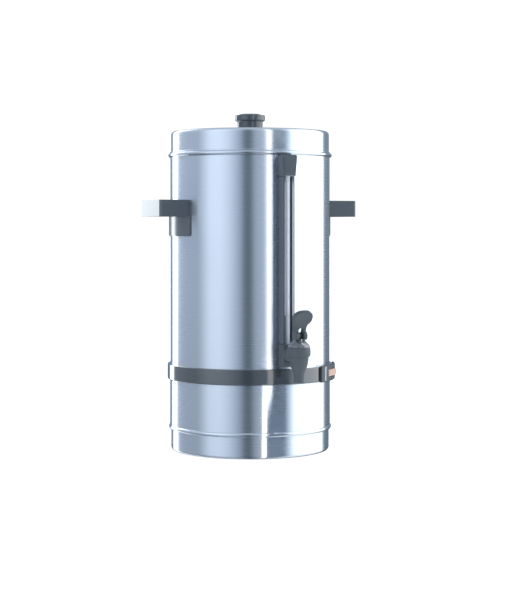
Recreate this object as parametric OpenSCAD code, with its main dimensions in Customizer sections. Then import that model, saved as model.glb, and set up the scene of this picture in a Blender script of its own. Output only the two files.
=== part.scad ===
// Percolating coffee urn: a steel tank on a steel base, with a lift-off lid, two side handles, a sight gauge,
// a self-closing lever tap and a basket on a pump stem inside. The tap faces -Y and the handles lie along X.

/* [Tank and lid] */
// Outside diameter of the tank
tank_d = 230; // [210:1:260]
// Height of the tank above its seat on the base
tank_h = 305; // [290:1:340]
// Thickness of the drawn steel
wall = 1; // [0.8:0.1:1.4]
// Radius of the rolled bead on the tank's rim
rim_bead_r = 3.1; // [2.4:0.1:3.6]
// Height of the lid above the tank's rim
lid_h = 31.4; // [24:0.2:40]
// Radius of the lid's pressed shoulder
lid_shoulder_r = 5; // [3:0.5:8]
// Rise of the lid's crown above its shoulder
lid_crown = 3.5; // [2:0.5:6]
// Depth of the lid's collar inside the rim
lid_collar_h = 12; // [8:1:18]

/* [Knob] */
// Diameter of the knob's brim
knob_d = 43; // [36:1:50]
// Height of the knob above the lid's crown
knob_h = 22; // [18:0.5:28]

/* [Base] */
// Height of the base, from the table to the tank's seat
base_h = 122; // [116:1:134]
// Step from the tank's wall out to the base shell's
base_step = 0.5; // [0.2:0.1:1]
// Height of the skirt below the base shell
skirt_h = 31.5; // [26:0.5:36]
// Poke of the pressed bead at the foot of the base shell
base_bead_poke = 1.7; // [1:0.1:2.4]
// Height of the pressed bead
base_bead_h = 6; // [5:0.5:8]
// Height of the rubber foot ring
foot_h = 4.4; // [4.2:0.1:4.5]

/* [Band and switch] */
// Height of the band round the joint
band_h = 22; // [20:0.5:26]
// How far the band stands off the tank
band_proud = 4.3; // [3.4:0.1:5.5]
// Angle from the tap to the middle of the control housing
control_angle = 49; // [40:1:70]
// Length of the rocker along the band
rocker_w = 32; // [24:1:34]
// Height of the rocker
rocker_h = 9.5; // [8:0.5:11]
// Throw of the rocker, from off to on
rocker_throw = 12; // [8:1:16]

/* [Handles] */
// Reach of each grip from the tank's wall
grip_reach = 39; // [32:1:48]
// Width of each handle across the grip
grip_w = 74; // [64:1:90]
// Thickness of each grip
grip_h = 23.4; // [18:0.2:28]
// Height of each handle's curved plate
handle_plate_h = 51; // [44:1:64]
// Depth from the tank's rim to the top of each handle
handle_drop = 67.9; // [50:0.1:90]
// Wall of the moulded grip
grip_wall = 3.2; // [2.4:0.1:4]

/* [Gauge] */
// Outside diameter of the gauge glass
glass_d = 9; // [8:0.5:10]
// Wall of the gauge glass
glass_wall = 1; // [0.8:0.1:1.4]
// Width of the channel that guards the glass
guard_w = 19; // [18:0.5:22]
// Wall of the guard
guard_wall = 2; // [1.6:0.1:2.4]
// Height of the cap at the top of the gauge
gauge_cap_h = 29.5; // [24:0.5:34]
// Width of the cap at its top
gauge_cap_w = 24; // [21:0.5:26]

/* [Tap] */
// Height of the tap's shank above the tank's seat
shank_rise = 25; // [24:0.5:32]
// Distance from the tank's wall to the valve's axis
tap_reach = 44.6; // [42:0.2:52]
// Outside diameter of the threaded shank
shank_d = 19; // [18:0.5:19.5]
// Diameter of the way through the shank
shank_bore_d = 11; // [8:0.5:12]
// Diameter of the way through the spout
spout_bore_d = 9.2; // [8:0.2:10]
// Length of the spout below the shank's axis
spout_drop = 37; // [35:0.5:42]
// Largest diameter of the valve body
valve_d = 32; // [31:0.5:35]
// Lean of the lever at rest
lever_lean = 20; // [10:1:25]
// Length of the lever from its pin to its tip
lever_l = 39.5; // [36:0.5:46]
// Width of the lever's paddle
paddle_w = 27; // [22:0.5:30]

/* [Percolator] */
// Outside diameter of the pump stem
stem_d = 12; // [10:0.5:13]
// Height of the pump stem above the tank's floor
stem_h = 282; // [270:1:290]
// Outside diameter of the coffee basket
basket_d = 184; // [160:1:196]
// Depth of the coffee basket
basket_h = 80; // [60:1:96]
// Height of the basket's seat above the tank's floor
basket_rise = 172; // [150:1:180]
// Diameter of one hole in the basket's floor
basket_hole_d = 2.6; // [2:0.1:3.4]

/* [Hidden] */
$fn = 96;
arc_steps = 8;
cut = 1; // overrun of every cut past the face it opens
seat_gap = 0.2; // clearance of pieces that are laid on each other
slip = 0.05; // clearance of a pin, stem or shank in its hole
move_gap = 0.4; // clearance of moving pieces

// Tank, with a well in its floor where the pump stands
tank_r = tank_d / 2;
inner_r = tank_r - wall;
rim_z = base_h + tank_h;
floor_z = base_h + wall;
floor_corner = 3.2;
well_r = 38;
well_depth = 14;
well_corner = 4;
well_z = base_h - well_depth;

// Lid
lid_inset = 1; // step from the tank's wall in to the lid's
lid_r = tank_r - lid_inset;
lid_z = rim_z;
lid_top = lid_z + lid_h;
lid_hem_h = 1.6;
lid_hem_out = 1.3;
lid_collar_gap = 0.5;
lid_collar_r = inner_r - lid_collar_gap;
lid_flat = 6; // flat ring between shoulder and crown
knob_seat_r = 19;
steam_hole_d = 4;
steam_hole_share = 0.62;
steam_holes = 3;

// Knob and its screw
knob_r = knob_d / 2;
knob_z = lid_top + lid_crown;
knob_neck_share = 0.86;
knob_foot_share = 0.82;
knob_top_share = 0.7;
knob_brim_share = 0.56;
knob_edge_r = 1.4;
knob_lip = 1.6;
knob_wall = 3;
screw_r = 2.4;
screw_head_r = 4.6;
screw_head_h = 2.8;
screw_slot_w = 1.2;
screw_slot_depth = 1.4;
knob_screw_l = 12;

// Base
base_r = tank_r + base_step;
base_wall = 1.2;
base_flange = 11; // width of the flange under the tank's floor
skirt_step = 1.7; // step from the base shell in to the skirt
skirt_r = base_r - skirt_step;
skirt_lap = 3; // lap of the skirt inside the base shell
skirt_curl_r = 4;
skirt_lift = 1; // gap between the skirt's curl and the table
skirt_flat = 3.3;
skirt_rise = 2.5; // step from the curl up to the inner flange
skirt_flange = 8;
cover_t = 1.2;
cover_lap = 0.5;
foot_w = 10;
foot_inset = 19.8; // from the skirt's wall in to the foot ring
foot_r = skirt_r - foot_inset;
foot_chamfer = 1;
cover_screw_r = 1.6;
cover_head_r = 3.2;
cover_head_h = 1.9;
cover_screw_l = 7;
cover_screws_n = 4;
// Band
band_r = tank_r + band_proud;
band_over = 3.1; // how far the band laps up the tank, past the joint
band_z = base_h + band_over - band_h;
band_t = 2;
band_edge_r = 1.5;
band_lip_h = 2;

// Control housing and rocker
housing_proud = 3;
housing_r = band_r + seat_gap + housing_proud;
housing_start_angle = -18; // from its middle to its ends
housing_end_angle = 22;
housing_over = 0.7; // how far it laps past the band's edges
control_z = band_z + band_h / 2;
rocker_gap = 0.5;
rocker_proud = 0.4;
rocker_t = 4;
rocker_axle_d = 3;
rocker_axle_sink = 6;
rocker_axis_r = housing_r - rocker_axle_sink; // its upright axle lies behind its face
switch_wall = 1.4;
switch_depth = 20;
switch_lug_w = 5;
switch_lug_t = 0.8;
switch_lug_reach = 8;

// Handles
plate_t = 2;
plate_round = 6;
grip_round = 3;
rib_t = 2;
rib_h = 4;
rib_place_share = 0.36;
handle_top = rim_z - handle_drop;
handle_screw_angle = 11; // angle from the handle's middle to each of its two screws
handle_screw_r = 2;
handle_screw_l = 10;
handle_boss_r = 4.4;

// Gauge
glass_r = glass_d / 2;
gauge_axis = 8; // distance from the tank's wall to the glass's axis
glass_y = -(tank_r + gauge_axis);
guard_depth = 14;
guard_lip = 3;
guard_lip_t = 1.8;
guard_back_t = 1;
seal_wall = 1.3;
seal_h = 8;
socket_r = glass_r + seal_wall;
gauge_cap_top = rim_z - 2 * rim_bead_r - 2 * seat_gap;
gauge_cap_z = gauge_cap_top - gauge_cap_h;
gauge_cap_depth = 16;
gauge_cap_socket = 11;
gauge_vent_r = 1;
gauge_screw_drop = 13;

// Tap shank, a moulded block that carries the gauge and the valve
shank_r = shank_d / 2;
shank_z = base_h + shank_rise;
block_w = 20;
block_depth = 16;
block_down = 18;
block_up = 13;
block_top = shank_z + block_up;
socket_depth = 9.5;
glass_z = block_top - socket_depth + seat_gap;
glass_top = gauge_cap_z + gauge_cap_socket - seat_gap;
pad_t = 1.5; // rubber pad between the block and the tank
shank_inner_l = 18;
spigot_l = 12;
spigot_r = 8;
washer_r = 13;
washer_t = 2.4;
nut_t = 8;
nut_r = 14;
thread_gap = 0.15;

// Valve
valve_y = -(tank_r + tap_reach);
valve_r = valve_d / 2;
chamber_r = 11;
bonnet_seat_r = 12.6;
bonnet_bore_gap = 0.1;
spout_z = shank_z - spout_drop;
seat_share = 0.42; // place of the seat, as a share of the drop to the spout
seat_z = shank_z - seat_share * spout_drop;
spout_wall = 2.4;
spout_neck_share = 0.27;
body_rise = 11; // from the shank's axis up to the bonnet
body_top = shank_z + body_rise;
body_top_share = 0.95;
// The body's outline, as shares of its radius and of the drop to the spout, from the spout up
body_shares = [
    [0.54, 0.55], [0.68, 0.43], [0.75, 0.325], [0.81, 0.18], [0.845, 0.045],
    [0.95, 0.03], [0.985, -0.03], [1, -0.12], [0.985, -0.22]];
arm_r = 10.4;
bonnet_h = 10;
bonnet_top = body_top + bonnet_h;
bonnet_plug_h = 6;
bonnet_top_r = 8;
// The bonnet's dome, as shares of its foot's radius and of its height
bonnet_shares = [
    [0.995, 0.08], [0.965, 0.2], [0.915, 0.32], [0.85, 0.46],
    [0.77, 0.6], [0.68, 0.74], [0.6, 0.86], [0.555, 0.95]];
bonnet_wall = 3;
spring_r = 6.4;
stem_r = 3;
collar_r = 7;
collar_t = 1.5;
cup_r = 8.6;
cup_wall = 1.4;
cup_h = 16;
seat_ring_h = 1.6;
seat_ring_t = 1.4;
cup_gap = 0.8; // clearance of the cup in its chamber
stem_low_z = seat_z + seat_ring_h + seat_gap + cup_wall;
collar_z = seat_z + seat_ring_h + cup_h;

// Lever: its heel is a disc set forward of the pin, so a pull lifts the stem steadily
heel_r = 5.4;
heel_ahead = 5;
pin_r = 2;
pin_z = bonnet_top + move_gap + heel_r;
eye_r = 4.6;
eye_t = 5.6;
fork_gap = 6.6;
fork_w = 16.4;
fork_h = 12.5;
lever_t = 8;
paddle_h = 24.5;
paddle_round = 12;
lever_sweep = 60; // radius of the lever's bend
lever_bend_share = 0.3; // where along the lever its bend starts
lever_face_share = 0.62; // length of the bent face and back, as shares of the lever
lever_back_share = 0.6;
lever_tip_shares = [1.15, 0.55]; // how far forward the tip's face and back lie, as shares of the thickness
neck_waist_share = 0.92;
neck_rise_share = 0.2;
hip_share = 0.75; // roundness of the paddle's lower corners, as a share of its upper ones
hip_rise_share = 0.9;
hip_turn = 60;
spring_turns = 6;
spring_wire = 1.1;

// Percolator
stem_or = stem_d / 2;
stem_wall = 1.1;
stem_top = floor_z + stem_h;
basket_z = floor_z + basket_rise;
basket_r = basket_d / 2;
basket_wall = 0.9;
basket_bead_r = 1.6;
stop_r = 9;
stop_t = 3;
sleeve_gap = 0.6;
sleeve_r = stem_or + sleeve_gap;
sleeve_wall = 1;
spreader_drop = 5;
spreader_rise = 3;
basket_rings = 6;
ring_holes = 7; // holes that each further ring adds
spreader_rings = 5;
spreader_hole_d = 3;
foot_funnel_r = 33;
foot_funnel_wall = 1.2;
foot_neck_h = 12;
foot_notch_w = 8;
foot_notch_h = 3;
foot_notches = 6;

// Heater and what feeds it
element_ring_r = 24;
element_r = 3.6;
element_z = well_z - element_r - seat_gap / 2;
element_leg_l = 22;
element_leg_angle = 14;
heater_plate_r = 34;
heater_plate_t = 3;
plate_z = element_z - element_r - seat_gap / 2 - heater_plate_t;
heater_boss_r = 5;
thermostat_r = 12;
thermostat_h = 11;
cutout_r = 4;
cutout_l = 24;
cutout_place_r = 66;
tab_w = 6.3;
tab_t = 0.8;
tab_l = 8;
block_l = 42;
block_b = 18;
block_h = 15;
block_ways = 3;
block_way_r = 2.8;
block_screw_r = 2.3;
block_place_r = 55;

// Appliance inlet at the back
inlet_z = 62;
inlet_flange_w = 31;
inlet_flange_h = 24;
inlet_flange_t = 3;
inlet_w = 24.4;
inlet_h = 16.6;
inlet_corner = 4;
inlet_wall = 1.8;
inlet_depth = 17;
inlet_pin_w = 4;
inlet_pin_t = 2;
inlet_pin_l = 12;
inlet_pin_pitch = 14;
inlet_pin_drop = 4;
inlet_tail_l = 9;

steel = "silver";
black = "dimgray";

// Points of an arc round c, from angle a to angle b
function arc(c, r, a, b, n = arc_steps) =
    [for (i = [0:n]) let (t = a + (b - a) * i / n) [c.x + r * cos(t), c.y + r * sin(t)]];

// Points of a shallow bulge of the given poke and height on a wall at radius r, from its foot up
function bulge(r, z, h, poke) =
    let (rho = (h * h / 4 + poke * poke) / (2 * poke), half = asin(h / 2 / rho))
    arc([r + poke - rho, z + h / 2], rho, -half, half);

// Points of a crown of the given rise over a ring of radius r, from its edge in to its middle
function crown(r, z, rise, inner) =
    let (rho = (r * r + rise * rise) / (2 * rise))
    [for (i = [0:arc_steps]) let (x = r + (inner - r) * i / arc_steps)
        [x, z + rise - rho + sqrt(rho * rho - x * x)]];

// Outline of a rectangle with round corners
function round_rect(w, h, r) = concat(
    arc([w / 2 - r, h / 2 - r], r, 0, 90), arc([r - w / 2, h / 2 - r], r, 90, 180),
    arc([r - w / 2, r - h / 2], r, 180, 270), arc([w / 2 - r, r - h / 2], r, 270, 360));

module turned(points) {
    rotate_extrude() polygon(points);
}

module ring(outer, inner, h, z) {
    translate([0, 0, z]) difference() {
        cylinder(r = outer, h = h);
        translate([0, 0, -cut]) cylinder(r = inner, h = h + 2 * cut);
    }
}

// A round bar along -Y, from the distance a to the distance b from the tank's axis, at height z
module bar(r, a, b, z) {
    translate([0, -a, z]) rotate([90, 0, 0]) cylinder(r = r, h = b - a);
}

// Puts what is drawn facing -Y at an angle round the tank
module facing(angle) {
    rotate([0, 0, angle]) children();
}

// Two handles face away from each other, square to the tap, and each has two screws
module at_handle_screws() {
    for (angle = [-90, 90], side = [-1, 1])
        facing(angle + side * handle_screw_angle) translate([0, 0, handle_top - grip_h / 2]) children();
}

module tank() color(steel) {
    difference() {
        turned(concat(
            [[0, well_z]],
            arc([well_r - well_corner, well_z + well_corner], well_corner, -90, 0),
            [[well_r, base_h]],
            arc([tank_r - floor_corner, base_h + floor_corner], floor_corner, -90, 0),
            arc([tank_r, rim_z - rim_bead_r], rim_bead_r, -90, 90),
            [[inner_r, rim_z]],
            arc([tank_r - floor_corner, base_h + floor_corner], floor_corner - wall, 0, -90),
            [[well_r - wall, floor_z]],
            arc([well_r - well_corner, well_z + well_corner], well_corner - wall, 0, -90),
            [[0, well_z + wall]]));
        bar(shank_r + slip, inner_r - 2 * cut, tank_r + cut, shank_z);
        bar(screw_r + slip, inner_r - cut, tank_r + cut, gauge_cap_top - gauge_screw_drop);
        at_handle_screws() bar(handle_screw_r + slip, inner_r - cut, tank_r + cut, 0);
    }
}

module lid() color(steel) {
    crown_r = lid_r - lid_shoulder_r - lid_flat;
    difference() {
        turned(concat(
            [[lid_collar_r, lid_z - lid_collar_h], [lid_collar_r, lid_z],
             [lid_r + lid_hem_out, lid_z], [lid_r + lid_hem_out, lid_z + lid_hem_h],
             [lid_r, lid_z + lid_hem_h]],
            arc([lid_r - lid_shoulder_r, lid_top - lid_shoulder_r], lid_shoulder_r, 0, 90),
            crown(crown_r, lid_top, lid_crown, knob_seat_r),
            [[0, lid_top + lid_crown], [0, lid_top + lid_crown - wall],
             [knob_seat_r, lid_top + lid_crown - wall]],
            [for (i = [arc_steps:-1:0]) crown(crown_r, lid_top, lid_crown, knob_seat_r)[i] - [0, wall]],
            arc([lid_r - lid_shoulder_r, lid_top - lid_shoulder_r], lid_shoulder_r - wall, 90, 0),
            [[lid_r - wall, lid_z + lid_hem_h + wall], [lid_collar_r - wall, lid_z + wall],
             [lid_collar_r - wall, lid_z - lid_collar_h]]));
        translate([0, 0, lid_top - cut]) cylinder(r = screw_r + slip, h = lid_crown + 2 * cut);
        for (i = [0:steam_holes - 1]) rotate([0, 0, 360 * (i + 1 / 2) / steam_holes])
            translate([0, lid_r * steam_hole_share, lid_top - 2 * cut])
                cylinder(r = steam_hole_d / 2, h = lid_crown + 4 * cut, $fn = 32);
    }
}

module lid_knob() color(black) {
    neck_r = knob_r * knob_neck_share;
    brim_z = knob_z + knob_h * knob_brim_share;
    top_z = knob_z + knob_h;
    lip_z = top_z - knob_lip;
    top_r = knob_r * knob_top_share;
    difference() {
        turned(concat(
            [[0, knob_z], [knob_r * knob_foot_share, knob_z], [neck_r, brim_z - knob_lip], [knob_r, brim_z]],
            arc([knob_r - knob_edge_r, lip_z - knob_edge_r], knob_edge_r, 0, 90),
            [[top_r + knob_lip, lip_z], [top_r + knob_lip / 2, lip_z + knob_lip / 2]],
            arc([top_r - knob_edge_r, top_z - knob_edge_r], knob_edge_r, 0, 90),
            [[0, top_z]]));
        ring(neck_r - knob_wall, screw_r + knob_wall, knob_h - 2 * knob_wall + cut, knob_z - cut);
        translate([0, 0, knob_z - cut]) cylinder(r = screw_r + slip, h = knob_screw_l + 2 * cut);
    }
}

module lid_knob_screw() color(steel) {
    head_z = knob_z - wall - seat_gap - screw_head_h;
    difference() {
        union() {
            translate([0, 0, head_z]) cylinder(r = screw_head_r, h = screw_head_h, $fn = 48);
            translate([0, 0, head_z]) cylinder(r = screw_r, h = screw_head_h + wall + knob_screw_l, $fn = 48);
        }
        translate([-screw_head_r, -screw_slot_w / 2, head_z - cut])
            cube([2 * screw_head_r, screw_slot_w, cut + screw_slot_depth]);
    }
}

// One handle, facing -Y: a curved plate on the tank and a hollow grip, open below, with two ribs inside
module handle_form() {
    out_r = tank_r + grip_reach;
    in_w = grip_w - 2 * grip_wall;
    rib_place = grip_w * rib_place_share / 2;
    screw_end = tank_r + handle_screw_l - grip_wall / 2;
    difference() {
        union() {
            intersection() {
                ring(tank_r + seat_gap + plate_t, inner_r, handle_plate_h, handle_top - handle_plate_h);
                translate([0, -inner_r / 2, handle_top - handle_plate_h / 2]) rotate([90, 0, 0])
                    linear_extrude(tank_r)
                        polygon(round_rect(grip_w + 2 * plate_t, handle_plate_h, plate_round));
            }
            difference() {
                translate([0, -out_r / 2, handle_top - grip_h])
                    linear_extrude(grip_h) polygon(round_rect(grip_w, out_r, grip_round));
                difference() {
                    translate([-in_w / 2, grip_wall - out_r, handle_top - grip_h - cut])
                        cube([in_w, out_r, grip_h - grip_wall + cut]);
                    cylinder(r = tank_r + seat_gap + plate_t, h = rim_z);
                    for (side = [-1, 1])
                        translate([side * rib_place - rib_t / 2, -out_r, handle_top - grip_wall - rib_h])
                            cube([rib_t, out_r, rib_h + cut]);
                    for (side = [-1, 1]) facing(side * handle_screw_angle)
                        bar(handle_boss_r, inner_r, tank_r + handle_screw_l, handle_top - grip_h / 2);
                }
            }
        }
        cylinder(r = tank_r + seat_gap, h = rim_z);
        for (side = [-1, 1]) facing(side * handle_screw_angle)
            bar(handle_screw_r + slip, inner_r, screw_end, handle_top - grip_h / 2);
    }
}

module handle_left() color(black) facing(-90) handle_form();

module handle_right() color(black) facing(90) handle_form();

module handle_screws() color(steel) at_handle_screws() {
    bar(handle_screw_r, inner_r - screw_head_h, tank_r + handle_screw_l - grip_wall, 0);
    intersection() {
        bar(screw_head_r, inner_r - screw_head_h, inner_r, 0);
        translate([0, 0, -screw_head_r]) cylinder(r = inner_r - slip, h = 2 * screw_head_r);
    }
}

// A block that passes through the wall at the switch, larger than the switch by the given gap
module switch_hole(gap) {
    facing(control_angle) translate([-rocker_w / 2 - gap, -housing_r - cut, control_z - rocker_h / 2 - gap])
        cube([rocker_w + 2 * gap, housing_r, rocker_h + 2 * gap]);
}

module base_shell() color(steel) {
    in_r = base_r - base_wall;
    foot_z = skirt_h;
    inlet_room = 2 * inlet_wall + seat_gap;
    difference() {
        turned(concat(
            [[in_r, foot_z], [base_r, foot_z]],
            bulge(base_r, foot_z, base_bead_h, base_bead_poke),
            [[base_r, base_h - base_wall], [base_r - base_wall, base_h],
             [in_r - base_flange, base_h], [in_r - base_flange, base_h - base_wall],
             [in_r, base_h - base_wall]]));
        switch_hole(switch_wall + seat_gap);
        facing(180) translate([0, -in_r / 2, inlet_z]) rotate([90, 0, 0]) linear_extrude(base_r)
            polygon(round_rect(inlet_w + inlet_room, inlet_h + inlet_room, inlet_corner));
    }
}

module base_skirt() color(steel) {
    curl = [skirt_r - skirt_curl_r, skirt_lift + skirt_curl_r];
    flat_r = curl.x - skirt_flat;
    step_r = flat_r - skirt_rise;
    difference() {
        turned(concat(
            [[skirt_r - wall, skirt_h + skirt_lap], [skirt_r, skirt_h + skirt_lap]],
            arc(curl, skirt_curl_r, 0, -90),
            [[flat_r, skirt_lift], [step_r, skirt_lift + skirt_rise],
             [step_r - skirt_flange, skirt_lift + skirt_rise],
             [step_r - skirt_flange, skirt_lift + skirt_rise + wall],
             [step_r + wall / 2, skirt_lift + skirt_rise + wall],
             [flat_r + wall / 2, skirt_lift + wall]],
            arc(curl, skirt_curl_r - wall, -90, 0)));
        at_cover_screws() cylinder(r = cover_screw_r + slip, h = 2 * foot_h, $fn = 32);
    }
}

cover_z = skirt_lift + skirt_rise + wall + seat_gap / 2;
cover_r = skirt_r - skirt_curl_r - skirt_flat - skirt_rise - cover_lap;
cover_screw_place_r = cover_r - skirt_flange / 2;

module at_cover_screws() {
    for (i = [0:cover_screws_n - 1]) rotate([0, 0, 360 * (i + 1 / 2) / cover_screws_n])
        translate([cover_screw_place_r, 0, 0]) children();
}

module bottom_cover() color(steel) {
    difference() {
        union() {
            translate([0, 0, cover_z]) cylinder(r = cover_r, h = cover_t);
            ring(foot_r - foot_w - seat_gap, foot_r - foot_w - seat_gap - cover_t, cover_t * 2, cover_z);
        }
        at_cover_screws() translate([0, 0, cover_z - cut])
            cylinder(r = cover_screw_r + slip, h = cover_t + 2 * cut, $fn = 32);
    }
}

module cover_screws() color(steel) at_cover_screws() {
    head_top = skirt_lift + skirt_rise - seat_gap / 2;
    translate([0, 0, head_top - cover_head_h]) cylinder(r = cover_head_r, h = cover_head_h, $fn = 32);
    translate([0, 0, head_top - cover_head_h]) cylinder(r = cover_screw_r, h = cover_screw_l, $fn = 32);
}

module foot_ring() color("black") {
    turned([[foot_r - foot_w, foot_chamfer], [foot_r - foot_w + foot_chamfer, 0], [foot_r - foot_chamfer, 0],
        [foot_r, foot_chamfer], [foot_r, foot_h], [foot_r - foot_w, foot_h]]);
}

module trim_band() color("black") {
    top_z = band_z + band_h;
    skin_r = band_r - band_t;
    difference() {
        turned(concat(
            [[base_r + seat_gap, band_z]],
            arc([band_r - band_edge_r, band_z + band_edge_r], band_edge_r, -90, 0),
            arc([band_r - band_edge_r, top_z - band_edge_r], band_edge_r, 0, 90),
            [[tank_r + seat_gap, top_z], [tank_r + seat_gap, top_z - band_lip_h],
             [skin_r, top_z - band_lip_h], [skin_r, band_z + band_lip_h],
             [base_r + seat_gap, band_z + band_lip_h]]));
        switch_hole(switch_wall + seat_gap);
    }
}

module control_housing() color("black") {
    z = band_z - housing_over;
    h = band_h + 2 * housing_over;
    sector_r = 2 * housing_r;
    half = (housing_end_angle - housing_start_angle) / 2;
    facing(control_angle) difference() {
        intersection() {
            turned(concat(
                [[band_r + seat_gap, z]],
                arc([housing_r - band_edge_r, z + band_edge_r], band_edge_r, -90, 0),
                arc([housing_r - band_edge_r, z + h - band_edge_r], band_edge_r, 0, 90),
                [[band_r + seat_gap, z + h]]));
            facing((housing_end_angle + housing_start_angle) / 2) linear_extrude(rim_z)
                polygon([[0, 0], [-sector_r * sin(half), -sector_r * cos(half)], [0, -sector_r],
                    [sector_r * sin(half), -sector_r * cos(half)]]);
        }
        facing(-control_angle) switch_hole(rocker_gap);
    }
}

module rocker_switch() color("orange") {
    face_r = housing_r + rocker_proud;
    arm = rocker_w / 2;
    facing(control_angle) translate([0, -rocker_axis_r, control_z]) rotate([0, 0, -rocker_throw / 2])
        difference() {
            linear_extrude(rocker_h - 2 * seat_gap, center = true)
                polygon([[-arm + rocker_gap, -rocker_axle_sink - rocker_proud], [0, -rocker_axle_sink],
                    [arm - rocker_gap, -rocker_axle_sink - rocker_proud],
                    [arm - rocker_gap, -rocker_t / 2], [rocker_axle_d, rocker_t / 2],
                    [-rocker_axle_d, rocker_t / 2], [-arm + rocker_gap, -rocker_t / 2]]);
            cylinder(r = rocker_axle_d / 2 + slip, h = 2 * rocker_h, center = true, $fn = 32);
        }
}

module switch_body() color("black") {
    w = rocker_w + 2 * switch_wall;
    h = rocker_h + 2 * switch_wall;
    front_r = sqrt(band_r * band_r - w * w / 4) - seat_gap;
    room = rocker_t + rocker_w / 2 * sin(rocker_throw) + rocker_gap;
    lug_y = switch_depth - front_r - cut / 2;
    facing(control_angle) {
        difference() {
            translate([-w / 2, -front_r, control_z - h / 2]) cube([w, switch_depth, h]);
            translate([-rocker_w / 2 - seat_gap, -front_r - cut, control_z - rocker_h / 2 - seat_gap])
                cube([rocker_w + 2 * seat_gap, room + cut, rocker_h + 2 * seat_gap]);
        }
        translate([0, -rocker_axis_r, control_z])
            cylinder(r = rocker_axle_d / 2, h = rocker_h + switch_wall, center = true, $fn = 32);
        for (i = [-1, 1])
            translate([i * rocker_w / 4 - switch_lug_w / 2, lug_y, control_z - switch_lug_t / 2])
                cube([switch_lug_w, switch_lug_reach + cut / 2, switch_lug_t]);
    }
}

// Cuts what is drawn to the curve of the tank, at the given gap
module on_wall(gap) {
    difference() {
        children();
        cylinder(r = tank_r + gap, h = rim_z + lid_h);
    }
}

module gauge_guard() color(black) {
    out_y = -(tank_r + guard_depth);
    back_y = -(tank_r + guard_back_t + 2 * seat_gap);
    in_w = guard_w / 2 - guard_wall;
    lip_w = in_w - guard_lip;
    on_wall(seat_gap) translate([0, 0, block_top + seat_gap])
        linear_extrude(gauge_cap_z - block_top - 2 * seat_gap)
            polygon([[-guard_w / 2, -inner_r], [-guard_w / 2, out_y + guard_wall / 2],
                [guard_wall / 2 - guard_w / 2, out_y], [-lip_w, out_y],
                [-lip_w, out_y + guard_lip_t], [-in_w, out_y + guard_lip_t], [-in_w, back_y],
                [in_w, back_y], [in_w, out_y + guard_lip_t], [lip_w, out_y + guard_lip_t],
                [lip_w, out_y], [guard_w / 2 - guard_wall / 2, out_y],
                [guard_w / 2, out_y + guard_wall / 2], [guard_w / 2, -inner_r]]);
}

module gauge_glass() color("lightcyan", 0.4) {
    translate([0, glass_y, 0]) ring(glass_r, glass_r - glass_wall, glass_top - glass_z, glass_z);
}

module gauge_seals() color("white") translate([0, glass_y, 0]) {
    for (z = [block_top - seal_h, gauge_cap_z])
        ring(socket_r - slip, glass_r + slip, seal_h, z);
}

module gauge_cap() color(black) {
    out = tank_r + gauge_cap_depth;
    difference() {
        on_wall(seat_gap) translate([0, -inner_r, gauge_cap_z]) rotate([90, 0, 0])
            linear_extrude(out - inner_r)
                polygon([[-guard_w / 2, 0], [guard_w / 2, 0], [gauge_cap_w / 2, gauge_cap_h - guard_wall],
                    [gauge_cap_w / 2 - guard_wall, gauge_cap_h], [guard_wall - gauge_cap_w / 2, gauge_cap_h],
                    [-gauge_cap_w / 2, gauge_cap_h - guard_wall]]);
        translate([0, glass_y, gauge_cap_z - cut]) cylinder(r = socket_r, h = gauge_cap_socket + cut);
        translate([0, glass_y, gauge_cap_z]) cylinder(r = gauge_vent_r, h = gauge_cap_h + cut, $fn = 32);
        bar(screw_r + slip, inner_r, tank_r + gauge_axis - gauge_vent_r - slip - screw_r / 2,
            gauge_cap_top - gauge_screw_drop);
    }
}

module gauge_cap_screw() color(steel) {
    z = gauge_cap_top - gauge_screw_drop;
    bar(screw_r, inner_r - screw_head_h, tank_r + gauge_axis - gauge_vent_r - screw_r, z);
    intersection() {
        bar(screw_head_r, inner_r - screw_head_h, inner_r, z);
        cylinder(r = inner_r - slip, h = rim_z);
    }
}

// The block against the tank, its threaded tube through the wall, and the spigot that holds the valve
module tap_shank() color(black) {
    front = tank_r + block_depth;
    difference() {
        union() {
            on_wall(pad_t + 2 * slip) translate([-block_w / 2, -front, shank_z - block_down])
                cube([block_w, block_depth + wall, block_down + block_up]);
            bar(shank_r, inner_r - shank_inner_l, front - spigot_r, shank_z);
            bar(spigot_r, front - spigot_r, front + spigot_l, shank_z);
        }
        bar(shank_bore_d / 2, inner_r - shank_inner_l - cut, front + spigot_l + cut, shank_z);
        translate([0, glass_y, shank_z]) cylinder(r = glass_r - glass_wall, h = block_up);
        translate([0, glass_y, block_top - socket_depth]) cylinder(r = socket_r, h = socket_depth + cut);
    }
}

module tap_gaskets() color("white") {
    difference() {
        intersection() {
            translate([-block_w / 2, -tank_r - block_depth, shank_z - block_down])
                cube([block_w, 2 * block_depth, block_down + block_up]);
            ring(tank_r + pad_t + slip, tank_r + slip, rim_z, 0);
        }
        bar(shank_r + slip, inner_r, tank_r + block_depth, shank_z);
    }
    difference() {
        intersection() {
            bar(washer_r, inner_r - washer_t - wall, tank_r, shank_z);
            cylinder(r = inner_r - slip, h = rim_z);
        }
        bar(shank_r + slip, inner_r - nut_t, tank_r, shank_z);
    }
}

module tap_nut() color("white") {
    face = inner_r - washer_t - wall - slip;
    difference() {
        translate([0, -face, shank_z]) rotate([-90, 0, 0]) cylinder(r = nut_r, h = nut_t, $fn = 6);
        bar(shank_r + thread_gap, face - nut_t - cut, face + cut, shank_z);
    }
}

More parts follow.
